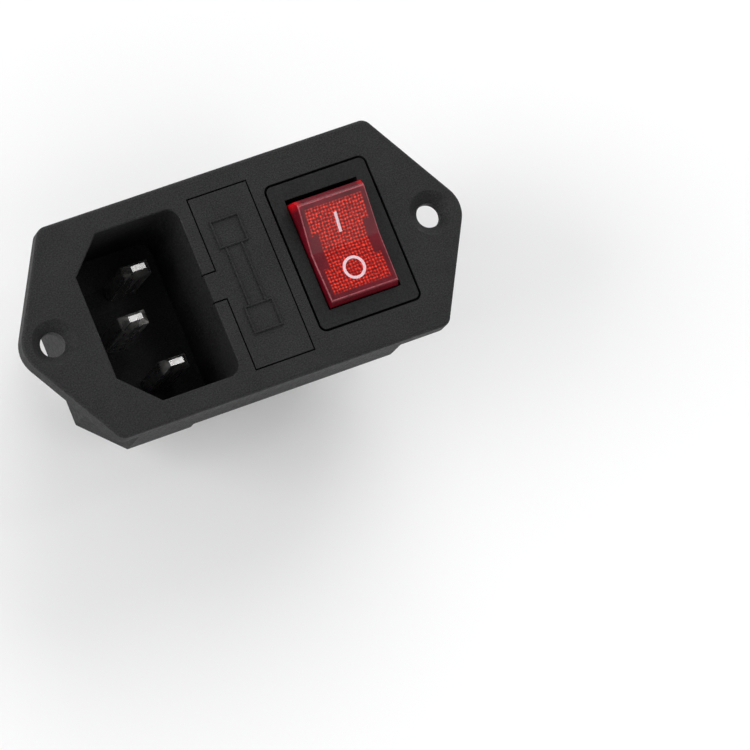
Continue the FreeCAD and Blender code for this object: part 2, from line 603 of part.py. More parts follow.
def cut_screw_holes(body):
    """Countersunk for a screw whose head meets the shank at 90 degrees."""
    ends = ("-screw_spacing / 2", "screw_spacing / 2")
    extrude(body, "XY", "0", FRONT, circles=[(x, "0", "screw_hole_diameter") for x in ends],
            cut=True)
    dress(body, "Chamfer", lambda edge, middle, tangent:
          edge.Curve.TypeId == "Part::GeomCircle" and near(middle.z, FRONT)
          and near(edge.Curve.Radius, "screw_hole_diameter / 2"),
          "(screw_head_diameter - screw_hole_diameter) / 2")


def add_outer_ribs(body):
    rib_low = "(clip_pitch / 2 - terminal_base_width / 2 - rib_width)"
    rib = rectangle("bay_x + terminal_reach - rib_length", "bay_x + terminal_reach",
                    rib_low, f"{rib_low} + rib_width")
    extrude(body, "XY", f"{REAR} - rib_height", REAR, [rib])
    for x in ("(-gusset_inlet_x)", "(gusset_switch_x)"):
        for sign in ("", "-"):
            wall = f"{sign}body_width / 2"
            gusset = [(wall, "0"), (f"{sign}(body_width / 2 + gusset_reach)", "0"),
                      (wall, "-gusset_height")]
            extrude(body, "YZ", f"{x} - gusset_thickness / 2", f"{x} + gusset_thickness / 2",
                    [gusset])
    wedge = [("body_switch_end", "0"), ("body_switch_end + gusset_thickness", "0"),
             ("body_switch_end", "-gusset_height")]
    extrude(body, "XZ", "-boss_offset - boss_width / 2", "boss_width / 2 - boss_offset", [wedge])


def make_pin(label, x, y, seat, setback):
    """A flat pin with a tapered tip, riveted over at its rear end."""
    body = new_body(label, x, y)
    neck = f"{FRONT} - {setback} - pin_taper"
    shank = rectangle("-pin_breadth / 2", "pin_breadth / 2",
                      "-pin_thickness / 2", "pin_thickness / 2")
    extrude(body, "XY", seat, neck, [shank])
    root = new_sketch(body, "XY", neck)
    draw_polygon(root, shank)
    tip = new_sketch(body, "XY", f"{FRONT} - {setback}")
    draw_polygon(tip, rectangle("-pin_tip_breadth / 2", "pin_tip_breadth / 2",
                                "-pin_tip_thickness / 2", "pin_tip_thickness / 2"))
    loft = body.newObject("PartDesign::AdditiveLoft", f"{label}_tip")
    loft.Profile = root
    loft.Sections = [tip]
    loft.Ruled = True
    plate_rear = f"{seat} - plate_thickness"
    extrude(body, "XY", plate_rear, seat, circles=[("0", "0", "rivet_diameter")])
    extrude(body, "XY", f"{plate_rear} - rivet_head_height", plate_rear,
            circles=[("0", "0", "rivet_head_diameter")])
    dress(body, "Fillet", lambda edge, middle, tangent:
          near(middle.z, f"{plate_rear} - rivet_head_height"), "rivet_head_height * 0.8")
    return body


def make_terminal(label, x, y, seat, reach, tail, height="terminal_height", angle="0"):
    """A bent solder terminal: a foot under the rivet and an upright blade with a hole."""
    body = new_body(label, x, y, seat, angle=angle)
    half_foot = "terminal_base_width / 2"
    foot = rectangle(f"-{tail}", reach, f"-{half_foot}", half_foot)
    extrude(body, "XY", "-plate_thickness", "0", [foot],
            [("0", "0", "rivet_diameter + 2 * rivet_clearance")])
    half_blade = "terminal_width / 2"
    tip = f"-{height}"
    slant = "terminal_tip_chamfer"
    blade = [
        (f"-{half_foot}", "0"), (f"-{half_foot}", "-terminal_shoulder"),
        (f"-{half_blade}", "-terminal_shoulder"), (f"-{half_blade}", f"{tip} + {slant}"),
        (f"{slant} - {half_blade}", tip), (f"{half_blade} - {slant}", tip),
        (half_blade, f"{tip} + {slant}"), (half_blade, "-terminal_shoulder"),
        (half_foot, "-terminal_shoulder"), (half_foot, "0"),
    ]
    extrude(body, "YZ", f"{reach} - plate_thickness", reach, [blade])
    extrude(body, "YZ", f"{reach} - plate_thickness", reach,
            circles=[("0", f"{tip} + terminal_hole_inset", "terminal_hole_diameter")], cut=True)
    dress(body, "Fillet", lambda edge, middle, tangent:
          near(middle.x, reach) and near(middle.z, "0") and abs(tangent.y) > 0.9,
          "terminal_bend_radius")
    return body


def make_link_strip():
    body = new_body("link_strip")
    play = "rivet_diameter + 2 * rivet_clearance"
    holes = [(LIVE_PIN_X, "-pin_pitch / 2", play), ("bay_x", "-clip_pitch / 2", play)]
    extrude(body, "XY", f"{REAR} - plate_thickness", REAR, [strip_outline("0")], holes)
    return body


def make_fuse_contact(label, y):
    """A spring clip: a riveted floor and two legs that grip the fuse cap."""
    body = new_body(label, "bay_x", y, BAY_FLOOR)
    inner = CLIP_LEG_X
    outer = f"({inner} + clip_thickness)"
    bend = "(clip_rise - clip_flare_height)"
    profile = [
        (f"-{outer}", "0"), (outer, "0"), (outer, bend), (f"{outer} + clip_flare", "clip_rise"),
        (f"{inner} + clip_flare", "clip_rise"), (inner, bend), (inner, "clip_thickness"),
        (f"-{inner}", "clip_thickness"), (f"-{inner}", bend),
        (f"-{inner} - clip_flare", "clip_rise"), (f"-{outer} - clip_flare", "clip_rise"),
        (f"-{outer}", bend),
    ]
    extrude(body, "XZ", "-clip_width / 2", "clip_width / 2", [profile])
    extrude(body, "XY", "0", "clip_thickness",
            circles=[("0", "0", "rivet_diameter + 2 * rivet_clearance")], cut=True)
    return body


def make_fuse_rivet(label, y):
    body = new_body(label, "bay_x", y)
    inner_face = f"({BAY_FLOOR} + clip_thickness)"
    outer_face = f"({REAR} - plate_thickness)"
    shank = "rivet_diameter / 2"
    head = "rivet_head_diameter / 2"
    revolve(body, [
        ("0", f"{outer_face} - rivet_head_height"), (f"{head} * 0.7", f"{outer_face} - rivet_head_height"),
        (head, f"{outer_face} - rivet_head_height / 2"), (head, outer_face), (shank, outer_face),
        (shank, inner_face), (head, inner_face), (head, f"{inner_face} + rivet_head_height / 2"),
        (f"{head} * 0.7", f"{inner_face} + rivet_head_height"),
        ("0", f"{inner_face} + rivet_head_height"),
    ])
    return body


def make_drawer():
    """The drawer front with its prising tongue, the spare fuse bay and the working fuse seat."""
    body = new_body("fuse_drawer", "bay_x")
    half = "drawer_breadth / 2"
    side = "drawer_length / 2"
    extrude(body, "XY", "-drawer_depth", FRONT, [rectangle(f"-{half}", half, f"-{side}", side)])
    inlet_edge = "-inlet_x + inlet_breadth / 2 - bay_x"
    extrude(body, "XY", f"{FRONT} - tongue_thickness", FRONT,
            [rectangle(inlet_edge, f"-{half}", "-tongue_width / 2", "tongue_width / 2")])
    room = "(fuse_diameter / 2 + fuse_play)"
    fuse_end = "(fuse_length / 2 + drawer_end_play)"
    spare = rectangle(f"-{half}", f"{half} - drawer_back_wall",
                      f"-spare_drop - {room}", f"{room} - spare_drop")
    extrude(body, "XZ", f"-{fuse_end}", fuse_end, [spare], cut=True)
    working = rectangle(f"-{room}", room, "-drawer_depth", f"{room} - fuse_drop")
    extrude(body, "XZ", f"-{fuse_end}", fuse_end, [working], cut=True)
    clip_room = rectangle(f"-{half}", half, "-drawer_depth", f"{room} - fuse_drop")
    inner = "(clip_pitch / 2 - clip_width / 2 - drawer_end_play)"
    extrude(body, "XZ", inner, fuse_end, [clip_room], cut=True)
    extrude(body, "XZ", f"-{fuse_end}", f"-{inner}", [clip_room], cut=True)
    return body


def cylinder(label, diameter, length, x, y, z):
    """A cylinder lying along Y that starts at the given place."""
    item = document.addObject("Part::Cylinder", label)
    item.Placement = Placement(Vector(0, 0, 0), Rotation(Vector(1, 0, 0), -90))
    bind(item, "Radius", f"({diameter}) / 2")
    bind(item, "Height", length)
    for path, text in (("x", x), ("y", y), ("z", z)):
        bind(item, f"Placement.Base.{path}", text)
    return item


def difference(label, base, tool):
    item = document.addObject("Part::Cut", label)
    item.Base = base
    item.Tool = tool
    item.Label = label
    pieces.append(item)
    return item


def make_fuse(prefix, drop):
    """A glass cartridge fuse along Y: tube, two end caps and the melting wire."""
    z = f"-{drop}"
    glass = "(fuse_diameter - 2 * fuse_cap_wall - 2 * fuse_glass_play)"
    tube_length = "(fuse_length - 2 * fuse_cap_wall)"
    start = f"-{tube_length} / 2"
    difference(f"{prefix}_glass",
               cylinder(f"{prefix}_glass_outside", glass, tube_length, "bay_x", start, z),
               cylinder(f"{prefix}_glass_inside", f"{glass} - 2 * fuse_glass_wall",
                        tube_length, "bay_x", start, z))
    inside = "fuse_diameter - 2 * fuse_cap_wall"
    for end, cap_start, hollow_start in (
            ("line", "-fuse_length / 2", "fuse_cap_wall - fuse_length / 2"),
            ("load", "fuse_length / 2 - fuse_cap_length", "fuse_length / 2 - fuse_cap_length")):
        difference(f"{prefix}_cap_{end}",
                   cylinder(f"{prefix}_cap_{end}_outside", "fuse_diameter", "fuse_cap_length",
                            "bay_x", cap_start, z),
                   cylinder(f"{prefix}_cap_{end}_inside", inside,
                            "fuse_cap_length - fuse_cap_wall", "bay_x", hollow_start, z))
    wire = cylinder(f"{prefix}_wire", "fuse_wire_diameter", tube_length, "bay_x", start, z)
    wire.Label = f"{prefix}_wire"
    pieces.append(wire)


def make_switch_body():
    """The switch case: bezel, case, snap wedges, pole barrier, journal bearings and rear cross."""
    body = new_body("switch_body", "switch_x")
    bezel = rectangle("-bezel_breadth / 2", "bezel_breadth / 2",
                      "-bezel_length / 2", "bezel_length / 2")
    extrude(body, "XY", BEZEL_SEAT, FRONT, [bezel])
    dress(body, "Fillet", lambda edge, middle, tangent: is_upright(edge, tangent),
          "bezel_corner_radius")
    half = "switch_breadth / 2"
    front = rectangle(f"-{half}", half, "-switch_length / 2", "switch_length / 2")
    extrude(body, "XY", "-switch_shoulder_depth", BEZEL_SEAT, [front])
    rear = rectangle(f"-{half}", half, "-switch_rear_length / 2", "switch_rear_length / 2")
    extrude(body, "XY", CASE_REAR, "-switch_shoulder_depth", [rear])
    opening = rectangle("-opening_breadth / 2", "opening_breadth / 2",
                        "-opening_length / 2", "opening_length / 2")
    extrude(body, "XY", CASE_FLOOR, FRONT, [opening], cut=True)
    barrier = rectangle("-barrier_thickness / 2", "barrier_thickness / 2",
                        "-opening_length / 2", "opening_length / 2")
    extrude(body, "XY", CASE_FLOOR, f"{CASE_FLOOR} + barrier_height", [barrier])
    bearing = [("0", PIVOT_Z, "trunnion_diameter + 2 * trunnion_clearance")]
    journal_end = "(rocker_breadth / 2 + trunnion_length)"
    extrude(body, "YZ", "opening_breadth / 2", f"{journal_end} + trunnion_clearance",
            circles=bearing, cut=True)
    extrude(body, "YZ", f"-{journal_end} - trunnion_clearance", "-opening_breadth / 2",
            circles=bearing, cut=True)
    catch = f"({LEDGE_REAR} - latch_gap)"
    for sign in ("", "-"):
        wedge = [(f"{sign}switch_length / 2", catch),
                 (f"{sign}(switch_length / 2 + latch_reach)", catch),
                 (f"{sign}switch_length / 2", f"{catch} - latch_rise")]
        extrude(body, "YZ", "-latch_width / 2", "latch_width / 2", [wedge])
    cross_rear = f"({CASE_REAR} - divider_height)"
    arm = "divider_thickness / 2"
    across = rectangle("-divider_breadth / 2", "divider_breadth / 2", f"-{arm}", arm)
    along = rectangle(f"-{arm}", arm, "-divider_length / 2", "divider_length / 2")
    extrude(body, "XY", cross_rear, CASE_REAR, [across])
    extrude(body, "XY", cross_rear, CASE_REAR, [along])
    for x in ("tab_offset", "-tab_offset"):
        for y in ("tab_pitch / 2", "-tab_pitch / 2"):
            slot = rectangle(f"{x} - plate_thickness / 2", f"{x} + plate_thickness / 2",
                             f"{y} - tab_width / 2", f"{y} + tab_width / 2")
            extrude(body, "XY", CASE_REAR, CASE_FLOOR, [slot], cut=True)
    return body


def tab_corners(sign):
    """The outer half of a switch terminal, from the case floor round its tip."""
    inner = f"{sign}(tab_pitch / 2 - tab_width / 2)"
    outer = f"{sign}(tab_pitch / 2 + tab_width / 2)"
    inner_tip = f"{sign}(tab_pitch / 2 - tab_width / 2 + tab_tip_chamfer)"
    outer_tip = f"{sign}(tab_pitch / 2 + tab_width / 2 - tab_tip_chamfer)"
    tip = f"({CASE_REAR} - tab_reach)"
    return [
        (outer, CASE_FLOOR), (outer, f"{tip} + tab_tip_chamfer"), (outer_tip, tip),
        (inner_tip, tip), (inner, f"{tip} + tab_tip_chamfer"), (inner, CASE_FLOOR),
    ]


def drill_tab(body, sign):
    hole = (f"{sign}tab_pitch / 2", f"{CASE_REAR} - tab_reach + tab_hole_inset",
            "tab_hole_diameter")
    extrude(body, "YZ", "-plate_thickness / 2", "plate_thickness / 2", circles=[hole], cut=True)


def make_common_terminal(label, x):
    """The terminal whose inner end carries the contact arm in a notched post."""
    body = new_body(label, x)
    base_top = f"{CASE_FLOOR} + cradle_base"
    post = "cradle_width / 2"
    post_top = "(-arm_pivot_depth - cradle_gap)"
    outer = "tab_pitch / 2 + tab_width / 2"
    profile = tab_corners("") + [
        (f"-{post}", CASE_FLOOR), (f"-{post}", post_top), (post, post_top), (post, base_top),
        (outer, base_top),
    ]
    extrude(body, "YZ", "-plate_thickness / 2", "plate_thickness / 2", [profile])
    groove = ("0", "-arm_pivot_depth", "bead_diameter + 2 * bead_clearance")
    extrude(body, "YZ", "-plate_thickness / 2", "plate_thickness / 2", circles=[groove], cut=True)
    drill_tab(body, "")
    return body


def make_fixed_terminal(label, x, inward):
    """The terminal whose inner end is bent over into the anvil of the fixed contact."""
    body = new_body(label, x)
    anvil_top = f"({anvil_height()})"
    anvil_low = f"({anvil_top} - anvil_thickness)"
    middle = "arm_contact_reach"
    profile = tab_corners("-") + [
        (f"-({middle} - anvil_post / 2)", CASE_FLOOR), (f"-({middle} - anvil_post / 2)", anvil_low),
        (f"-({middle} + anvil_post / 2)", anvil_low),
        (f"-({middle} + anvil_post / 2)", f"{CASE_FLOOR} + plate_thickness"),
        ("-(tab_pitch / 2 + tab_width / 2)", f"{CASE_FLOOR} + plate_thickness"),
    ]
    extrude(body, "YZ", "-plate_thickness / 2", "plate_thickness / 2", [profile])
    centre = f"({inward}(tab_offset - pole_offset))"
    anvil = rectangle(f"{centre} - arm_width / 2", f"{centre} + arm_width / 2",
                      f"-({middle} + anvil_length / 2)", f"-({middle} - anvil_length / 2)")
    extrude(body, "XY", anvil_low, anvil_top, [anvil])
    drill_tab(body, "-")
    return body


def closed_contact_z():
    """Height of the moving contact's lower face under the arm when the switch is on."""
    drop = "(arm_contact_reach * sin(arm_tilt - arm_rise))"
    stand = "(contact_height * cos(arm_tilt - arm_rise))"
    return f"(-arm_pivot_depth - {drop} - {stand})"


def anvil_height():
    return f"{closed_contact_z()} - contact_gap - contact_height"


def make_fixed_contact(label, x):
    body = new_body(label, x, "-arm_contact_reach")
    base = f"({anvil_height()})"
    extrude(body, "XY", base, f"{base} + contact_height", circles=[("0", "0", "contact_diameter")])
    return body


def make_contact_arm(label, x):
    """A shallow V of sheet that seesaws on its post, tilted as the switch is off."""
    body = new_body(label, x, "0", "-arm_pivot_depth", Vector(1, 0, 0), "-arm_tilt")
    contact_end = "(arm_contact_reach + arm_end_margin)"
    contact_rise = f"{contact_end} * tan(arm_rise)"
    free_rise = "arm_free_reach * tan(arm_rise)"
    profile = [
        ("0", "0"), ("arm_free_reach", free_rise), ("arm_free_reach", f"{free_rise} + arm_thickness"),
        ("0", "arm_thickness"), (f"-{contact_end}", f"{contact_rise} + arm_thickness"),
        (f"-{contact_end}", contact_rise),
    ]
    extrude(body, "YZ", "-arm_width / 2", "arm_width / 2", [profile])
    extrude(body, "YZ", "-arm_width / 2", "arm_width / 2", circles=[("0", "0", "bead_diameter")])
    return body


def make_moving_contact(label, x):
    """A silver button under the arm, square to the sloping half that carries it."""
    body = new_body(label, x, "0", "-arm_pivot_depth", Vector(1, 0, 0), "-arm_tilt - arm_rise")
    extrude(body, "XY", "-contact_height", "0",
            circles=[("0", "-arm_contact_reach", "contact_diameter")])
    return body


def rocker_body(label, x="switch_x"):
    """A body in the rocker's own frame: origin on its axis, tilted to the off position."""
    return new_body(label, x, "0", PIVOT_Z, Vector(1, 0, 0), "rocker_tilt")


def is_rocker_rim(middle, tangent):
    """The four upright corners above the bezel and the edges round the folded top."""
    corner = abs(tangent.z) > 0.9 and middle.z > value("rocker_bulge_height")
    end = abs(tangent.x) > 0.9 and near(middle.z, ROCKER_END_TOP)
    rim_x = between(abs(middle.x), "rocker_top_breadth / 2", "rocker_top_breadth / 2")
    side = abs(tangent.y) > 0.9 and rim_x and middle.z > value("rocker_crown")
    return corner or end or side


def make_rocker():
    """The rocker: a hollow folded top, end skirts, two spring sockets and two journals."""
    body = rocker_body("rocker")
    top = ROCKER_END_TOP
    skirt_half = "rocker_skirt_length / 2"
    profile = [
        ("0", "rocker_crown"), ("rocker_reach", top), ("rocker_bulge", "rocker_bulge_height"),
        ("rocker_bulge", "-rocker_skirt / 3"), (skirt_half, "-rocker_skirt"),
        (f"-{skirt_half}", "-rocker_skirt"), ("-rocker_bulge", "-rocker_skirt / 3"),
        ("-rocker_bulge", "rocker_bulge_height"), ("-rocker_reach", top),
    ]
    side = "rocker_breadth / 2"
    extrude(body, "YZ", f"-{side}", side, [profile])
    tapers = []
    for sign in ("", "-"):
        tapers.append([(f"{sign}rocker_top_breadth / 2", top), (f"{sign}{side}", top),
                       (f"{sign}{side}", "pivot_drop")])
    extrude(body, "XZ", "-rocker_bulge", "rocker_bulge", tapers, cut=True)
    dress(body, "Fillet", lambda edge, middle, tangent: is_rocker_rim(middle, tangent),
          "rocker_edge_round")
    hollow = rectangle(f"rocker_wall - {side}", f"{side} - rocker_wall",
                       f"rocker_wall - {skirt_half}", f"{skirt_half} - rocker_wall")
    extrude(body, "XY", "-rocker_skirt", ROCKER_CEILING, [hollow], cut=True)
    poles = ("pole_offset", "-pole_offset")
    extrude(body, "XY", "-socket_reach", ROCKER_CEILING,
            circles=[(x, "0", "socket_diameter") for x in poles])
    extrude(body, "XY", "-socket_reach", "socket_roof",
            circles=[(x, "0", "socket_bore") for x in poles], cut=True)
    journal = [("0", "0", "trunnion_diameter")]
    extrude(body, "YZ", side, f"{side} + trunnion_length", circles=journal)
    extrude(body, "YZ", f"-{side} - trunnion_length", f"-{side}", circles=journal)
    return body


def make_plunger(label, x):
    """A round-nosed brass plunger that the spring holds against the contact arm."""
    body = rocker_body(label, f"switch_x + {x}")
    nose = f"(-{PLUNGER_REACH})"
    extrude(body, "XY", nose, "-plunger_shoulder", circles=[("0", "0", "2 * plunger_radius")])
    ball = body.newObject("PartDesign::AdditiveSphere", f"{label}_nose")
    bind(ball, "Radius", "plunger_radius")
    bind(ball, "Placement.Base.z", nose)
    return body


def make_plunger_spring(label, x):
    """A compression spring between the closed end of the socket and the plunger."""
    wire = value("spring_wire")
    coil = value("spring_coil") / 2
    low = -value("plunger_shoulder") + value("spring_end_gap") + wire / 2
    high = value("socket_roof") - value("spring_end_gap") - wire / 2
    pitch = (high - low) / value("spring_turns")
    helix = Part.makeHelix(pitch, high - low, coil)
    section = Part.Wire([Part.makeCircle(wire / 2, Vector(coil, 0, 0), Vector(0, 1, 0))])
    spring = document.addObject("Part::Feature", label)
    spring.Label = label
    spring.Shape = Part.Wire(helix.Edges).makePipeShell([section], True, True)
    pivot = Vector(value("switch_x") + value(x), 0, value(PIVOT_Z))
    rocker_frame = Placement(pivot, Rotation(Vector(1, 0, 0), value("rocker_tilt")))
    spring.Placement = rocker_frame * Placement(Vector(0, 0, low), Rotation())
    pieces.append(spring)


def wire_run(body, plane, start, end, across):
    """One straight stretch of lamp wire, at the height of the lamp."""
    centre = (across, LAMP_Z, "lead_diameter")
    return extrude(body, plane, start, end, circles=[centre])


def make_lamp():
    """The neon lamp, lying along the rocker with its round end under the raised half."""
    body = rocker_body("neon_lamp")
    radius = "(lamp_diameter / 2)"
    ball_y = f"(lamp_y + lamp_length - {radius})"
    extrude(body, "XZ", "lamp_y", ball_y, circles=[("0", LAMP_Z, "lamp_diameter")])
    ball = body.newObject("PartDesign::AdditiveSphere", "neon_lamp_end")
    bind(ball, "Radius", radius)
    bind(ball, "Placement.Base.y", ball_y)
    bind(ball, "Placement.Base.z", LAMP_Z)
    turn = "(lamp_y - 2 * lead_diameter)"
    wire_run(body, "XZ", turn, "lamp_y", "lamp_diameter / 4")
    wire_run(body, "YZ", "lamp_diameter / 4 - lead_diameter / 2",
             "pole_offset - socket_diameter / 2", f"{turn} + lead_diameter / 2")


def make_resistor():
    """The resistor in line with the lamp, with its far wire led back to the left socket."""
    body = rocker_body("lamp_resistor")
    end = "(lamp_y - resistor_gap)"
    start = f"({end} - resistor_length)"
    extrude(body, "XZ", start, end, circles=[("0", LAMP_Z, "resistor_diameter")])
    wire_run(body, "XZ", end, "lamp_y", "0")
    turn = f"({start} - 2 * lead_diameter)"
    wire_run(body, "XZ", turn, start, "0")
    wire_run(body, "YZ", "-pole_offset - lead_diameter / 2", "lead_diameter / 2",
             f"{turn} + lead_diameter / 2")
    wire_run(body, "XZ", turn, "-socket_diameter / 2", "-pole_offset")


make_housing()
for (pin_x, pin_y, pin_seat), (pin_label, pin_setback) in zip(pin_seats(), (
        ("pin_line", "pin_setback"), ("pin_neutral", "pin_setback"),
        ("pin_earth", "earth_setback"))):
    make_pin(pin_label, pin_x, pin_y, pin_seat, pin_setback)
make_terminal("terminal_neutral", LIVE_PIN_X, "pin_pitch / 2", REAR,
              "terminal_reach", "terminal_tail")
make_terminal("terminal_earth", EARTH_PIN_X, "0", BLOCK_REAR,
              "earth_reach", "earth_tail", "earth_terminal_height", "180")
make_terminal("terminal_fused_line", "bay_x", "clip_pitch / 2", REAR,
              "terminal_reach", "terminal_tail")
make_link_strip()
for end_label, end_y in (("line", "-clip_pitch / 2"), ("load", "clip_pitch / 2")):
    make_fuse_contact(f"fuse_contact_{end_label}", end_y)
    make_fuse_rivet(f"fuse_rivet_{end_label}", end_y)
make_drawer()
make_fuse("fuse", "fuse_drop")
make_fuse("spare_fuse", "spare_drop")
make_switch_body()
for side_label, side_sign, inward_sign in (("left", "-", "+"), ("right", "+", "-")):
    tab_x = f"switch_x {side_sign} tab_offset"
    pole_x = f"switch_x {side_sign} pole_offset"
    make_common_terminal(f"switch_common_{side_label}", tab_x)
    make_fixed_terminal(f"switch_fixed_{side_label}", tab_x, inward_sign)
    make_fixed_contact(f"fixed_contact_{side_label}", pole_x)
    make_contact_arm(f"contact_arm_{side_label}", pole_x)
    make_moving_contact(f"moving_contact_{side_label}", pole_x)
    make_plunger(f"plunger_{side_label}", f"{side_sign}pole_offset")
    make_plunger_spring(f"plunger_spring_{side_label}", f"{side_sign}pole_offset")
make_rocker()
make_lamp()
make_resistor()

document.recompute()
for item in document.Objects:
    if "Invalid" in item.State or "Error" in item.State:
        raise RuntimeError(f"{item.Name} is {item.State}")
for feature in document.Objects:
    if feature.TypeId in ("PartDesign::Pocket", "PartDesign::Pad"):
        base = feature.BaseFeature
        before = base.Shape.Volume if base else 0.0
        grows = feature.TypeId == "PartDesign::Pad"
        if (feature.Shape.Volume > before) != grows or feature.Shape.Volume == before:
            raise RuntimeError(f"{feature.Name} leaves its body as it was")
for piece in pieces:
    if piece.Shape.isNull() or not piece.Shape.isValid() or len(piece.Shape.Solids) != 1:
        raise RuntimeError(f"{piece.Label} is not one valid solid")

os.makedirs("parts", exist_ok=True)
for piece in pieces:
    piece.Shape.exportStep(f"parts/{piece.Label}.step")
print(len(pieces), "pieces")
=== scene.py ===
import json
import math

import bmesh
import bpy
from mathutils import Matrix, Vector


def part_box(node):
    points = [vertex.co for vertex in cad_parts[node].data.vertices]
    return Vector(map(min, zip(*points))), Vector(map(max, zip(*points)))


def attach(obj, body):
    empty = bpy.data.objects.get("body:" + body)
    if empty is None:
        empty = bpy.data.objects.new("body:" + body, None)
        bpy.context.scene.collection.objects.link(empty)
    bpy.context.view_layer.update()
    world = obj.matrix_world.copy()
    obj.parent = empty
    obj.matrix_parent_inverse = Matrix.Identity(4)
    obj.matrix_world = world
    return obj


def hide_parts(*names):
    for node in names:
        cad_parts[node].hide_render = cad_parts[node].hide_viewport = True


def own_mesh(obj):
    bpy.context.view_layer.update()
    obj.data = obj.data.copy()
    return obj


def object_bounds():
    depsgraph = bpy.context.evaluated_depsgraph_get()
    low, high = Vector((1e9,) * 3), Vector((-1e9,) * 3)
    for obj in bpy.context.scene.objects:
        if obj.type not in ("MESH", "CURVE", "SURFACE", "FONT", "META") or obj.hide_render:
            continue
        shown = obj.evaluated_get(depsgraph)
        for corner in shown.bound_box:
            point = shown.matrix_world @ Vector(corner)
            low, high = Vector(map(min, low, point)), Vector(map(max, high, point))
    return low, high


# The looks of the power entry module. Lengths are in metres, in the model's own frame.
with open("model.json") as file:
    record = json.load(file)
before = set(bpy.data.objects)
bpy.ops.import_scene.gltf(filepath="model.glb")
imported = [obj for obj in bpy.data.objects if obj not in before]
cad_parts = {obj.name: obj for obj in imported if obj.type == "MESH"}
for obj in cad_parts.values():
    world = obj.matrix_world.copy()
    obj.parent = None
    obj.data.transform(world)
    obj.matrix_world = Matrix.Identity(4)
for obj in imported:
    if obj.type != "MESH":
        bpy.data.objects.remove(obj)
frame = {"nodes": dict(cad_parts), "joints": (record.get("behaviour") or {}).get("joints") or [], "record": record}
cad_low, cad_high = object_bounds()
NODES = frame["nodes"]
JOINTS = {joint["name"]: joint for joint in frame["joints"]}
MM = 0.001

# Camera: the photograph's viewing angle
CAMERA_AIM = Vector((11.84, -18.68, 2.7)) * MM
CAMERA_AZIMUTH = math.radians(-66.93)
CAMERA_ELEVATION = math.radians(68.68)
CAMERA_ROLL = math.radians(45.94)
CAMERA_DISTANCE = 763.6 * MM
CAMERA_LENS = 269.6  # in millimetres, as is the sensor
SENSOR_WIDTH = 36.0
CLIP_START, CLIP_END = 0.05, 10.0

# Lamps: place, diameter and watts. All of them point at the origin.
LAMPS = {
    "key": ((0.55, 0.95, 0.75), 1.1, 8.0),
    "left": ((-1.0, 0.2, 0.6), 0.8, 6.5),
    "gloss": ((0.33, -0.39, 0.86), 0.3, 0.4),
    "glint": ((0.335, 0.05, 0.94), 0.1, 0.25),
}
# Sky from the horizon, at 0, to the zenith, at 1
SKY = [(0.0, (1.0, 1.0, 1.0)), (0.5, (0.95, 0.95, 0.95)),
       (0.8, (0.3, 0.3, 0.305)), (1.0, (0.17, 0.17, 0.175))]
SKY_STRENGTH = 1.2
FLOOR_SIZE = 4.0
FLOOR_TONES = [(0.3, (0.9, 0.9, 0.9)), (0.7, (0.93, 0.93, 0.93))]

# Black plastics: middle shade, roughness, grains per metre and depth of the grain
HOUSING_LOOK = ((0.0112, 0.0113, 0.0116), 0.6, 5200.0, 0.06 * MM)
SWITCH_LOOK = ((0.0068, 0.007, 0.007), 0.42, 6500.0, 0.025 * MM)
DARKEST, LIGHTEST = 0.2, 2.2  # shades of the grain, as shares of the middle one
GRAIN_SHARE, PATCH_SHARE = 0.85, 0.15
GRAIN_DARK_AT, GRAIN_LIGHT_AT = 0.35, 0.65
EDGE_ROUND = 0.1 * MM  # rounding of moulded edges that only the shading shows

# Metals: dark and light plating, roughness, and the stretch of the rolling marks
METALS = {
    "nickel": ((0.68, 0.67, 0.65), (0.86, 0.85, 0.83), 0.27, (1, 1, 0.08)),
    "tinned_brass": ((0.6, 0.59, 0.57), (0.83, 0.82, 0.8), 0.3, (1, 1, 0.1)),
    "bare_brass": ((0.42, 0.28, 0.1), (0.8, 0.58, 0.26), 0.26, (1, 0.1, 1)),
    "silver": ((0.6, 0.6, 0.59), (0.92, 0.92, 0.9), 0.2, (1, 1, 1)),
    "spring_steel": ((0.35, 0.35, 0.35), (0.65, 0.65, 0.66), 0.25, (1, 1, 1)),
}
STAIN_START, STAIN_END = 0.35, 0.55  # values of the clouds between dark and light plating

LAMP_TINT = (0.95, 0.9, 0.84)
FUSE_TINT = (0.9, 0.96, 0.94)
STREAK_SHADE = 0.9  # streaks in the glass, as a share of its tint
INK_WORN, INK_FULL = (0.6, 0.34, 0.38), (0.76, 0.58, 0.62)

# Resistor: its body's ends along the rocker, its rings and its wires
RESISTOR_LOW, RESISTOR_HIGH = -4.45 * MM, -1.7 * MM
RESISTOR_SIDE = 0.95 * MM
WIRE_MARGIN = 0.02 * MM
SAND = (0.62, 0.47, 0.27)
RESISTOR_RINGS = ((0.14, (0.35, 0.1, 0.03)), (0.34, (0.02, 0.02, 0.02)),
                  (0.54, (0.7, 0.25, 0.02)), (0.8, (0.6, 0.42, 0.1)))
RING_SHARE = 0.08  # width of a ring, as a share of the body's length
WIRE_TIN = (0.72, 0.71, 0.68)

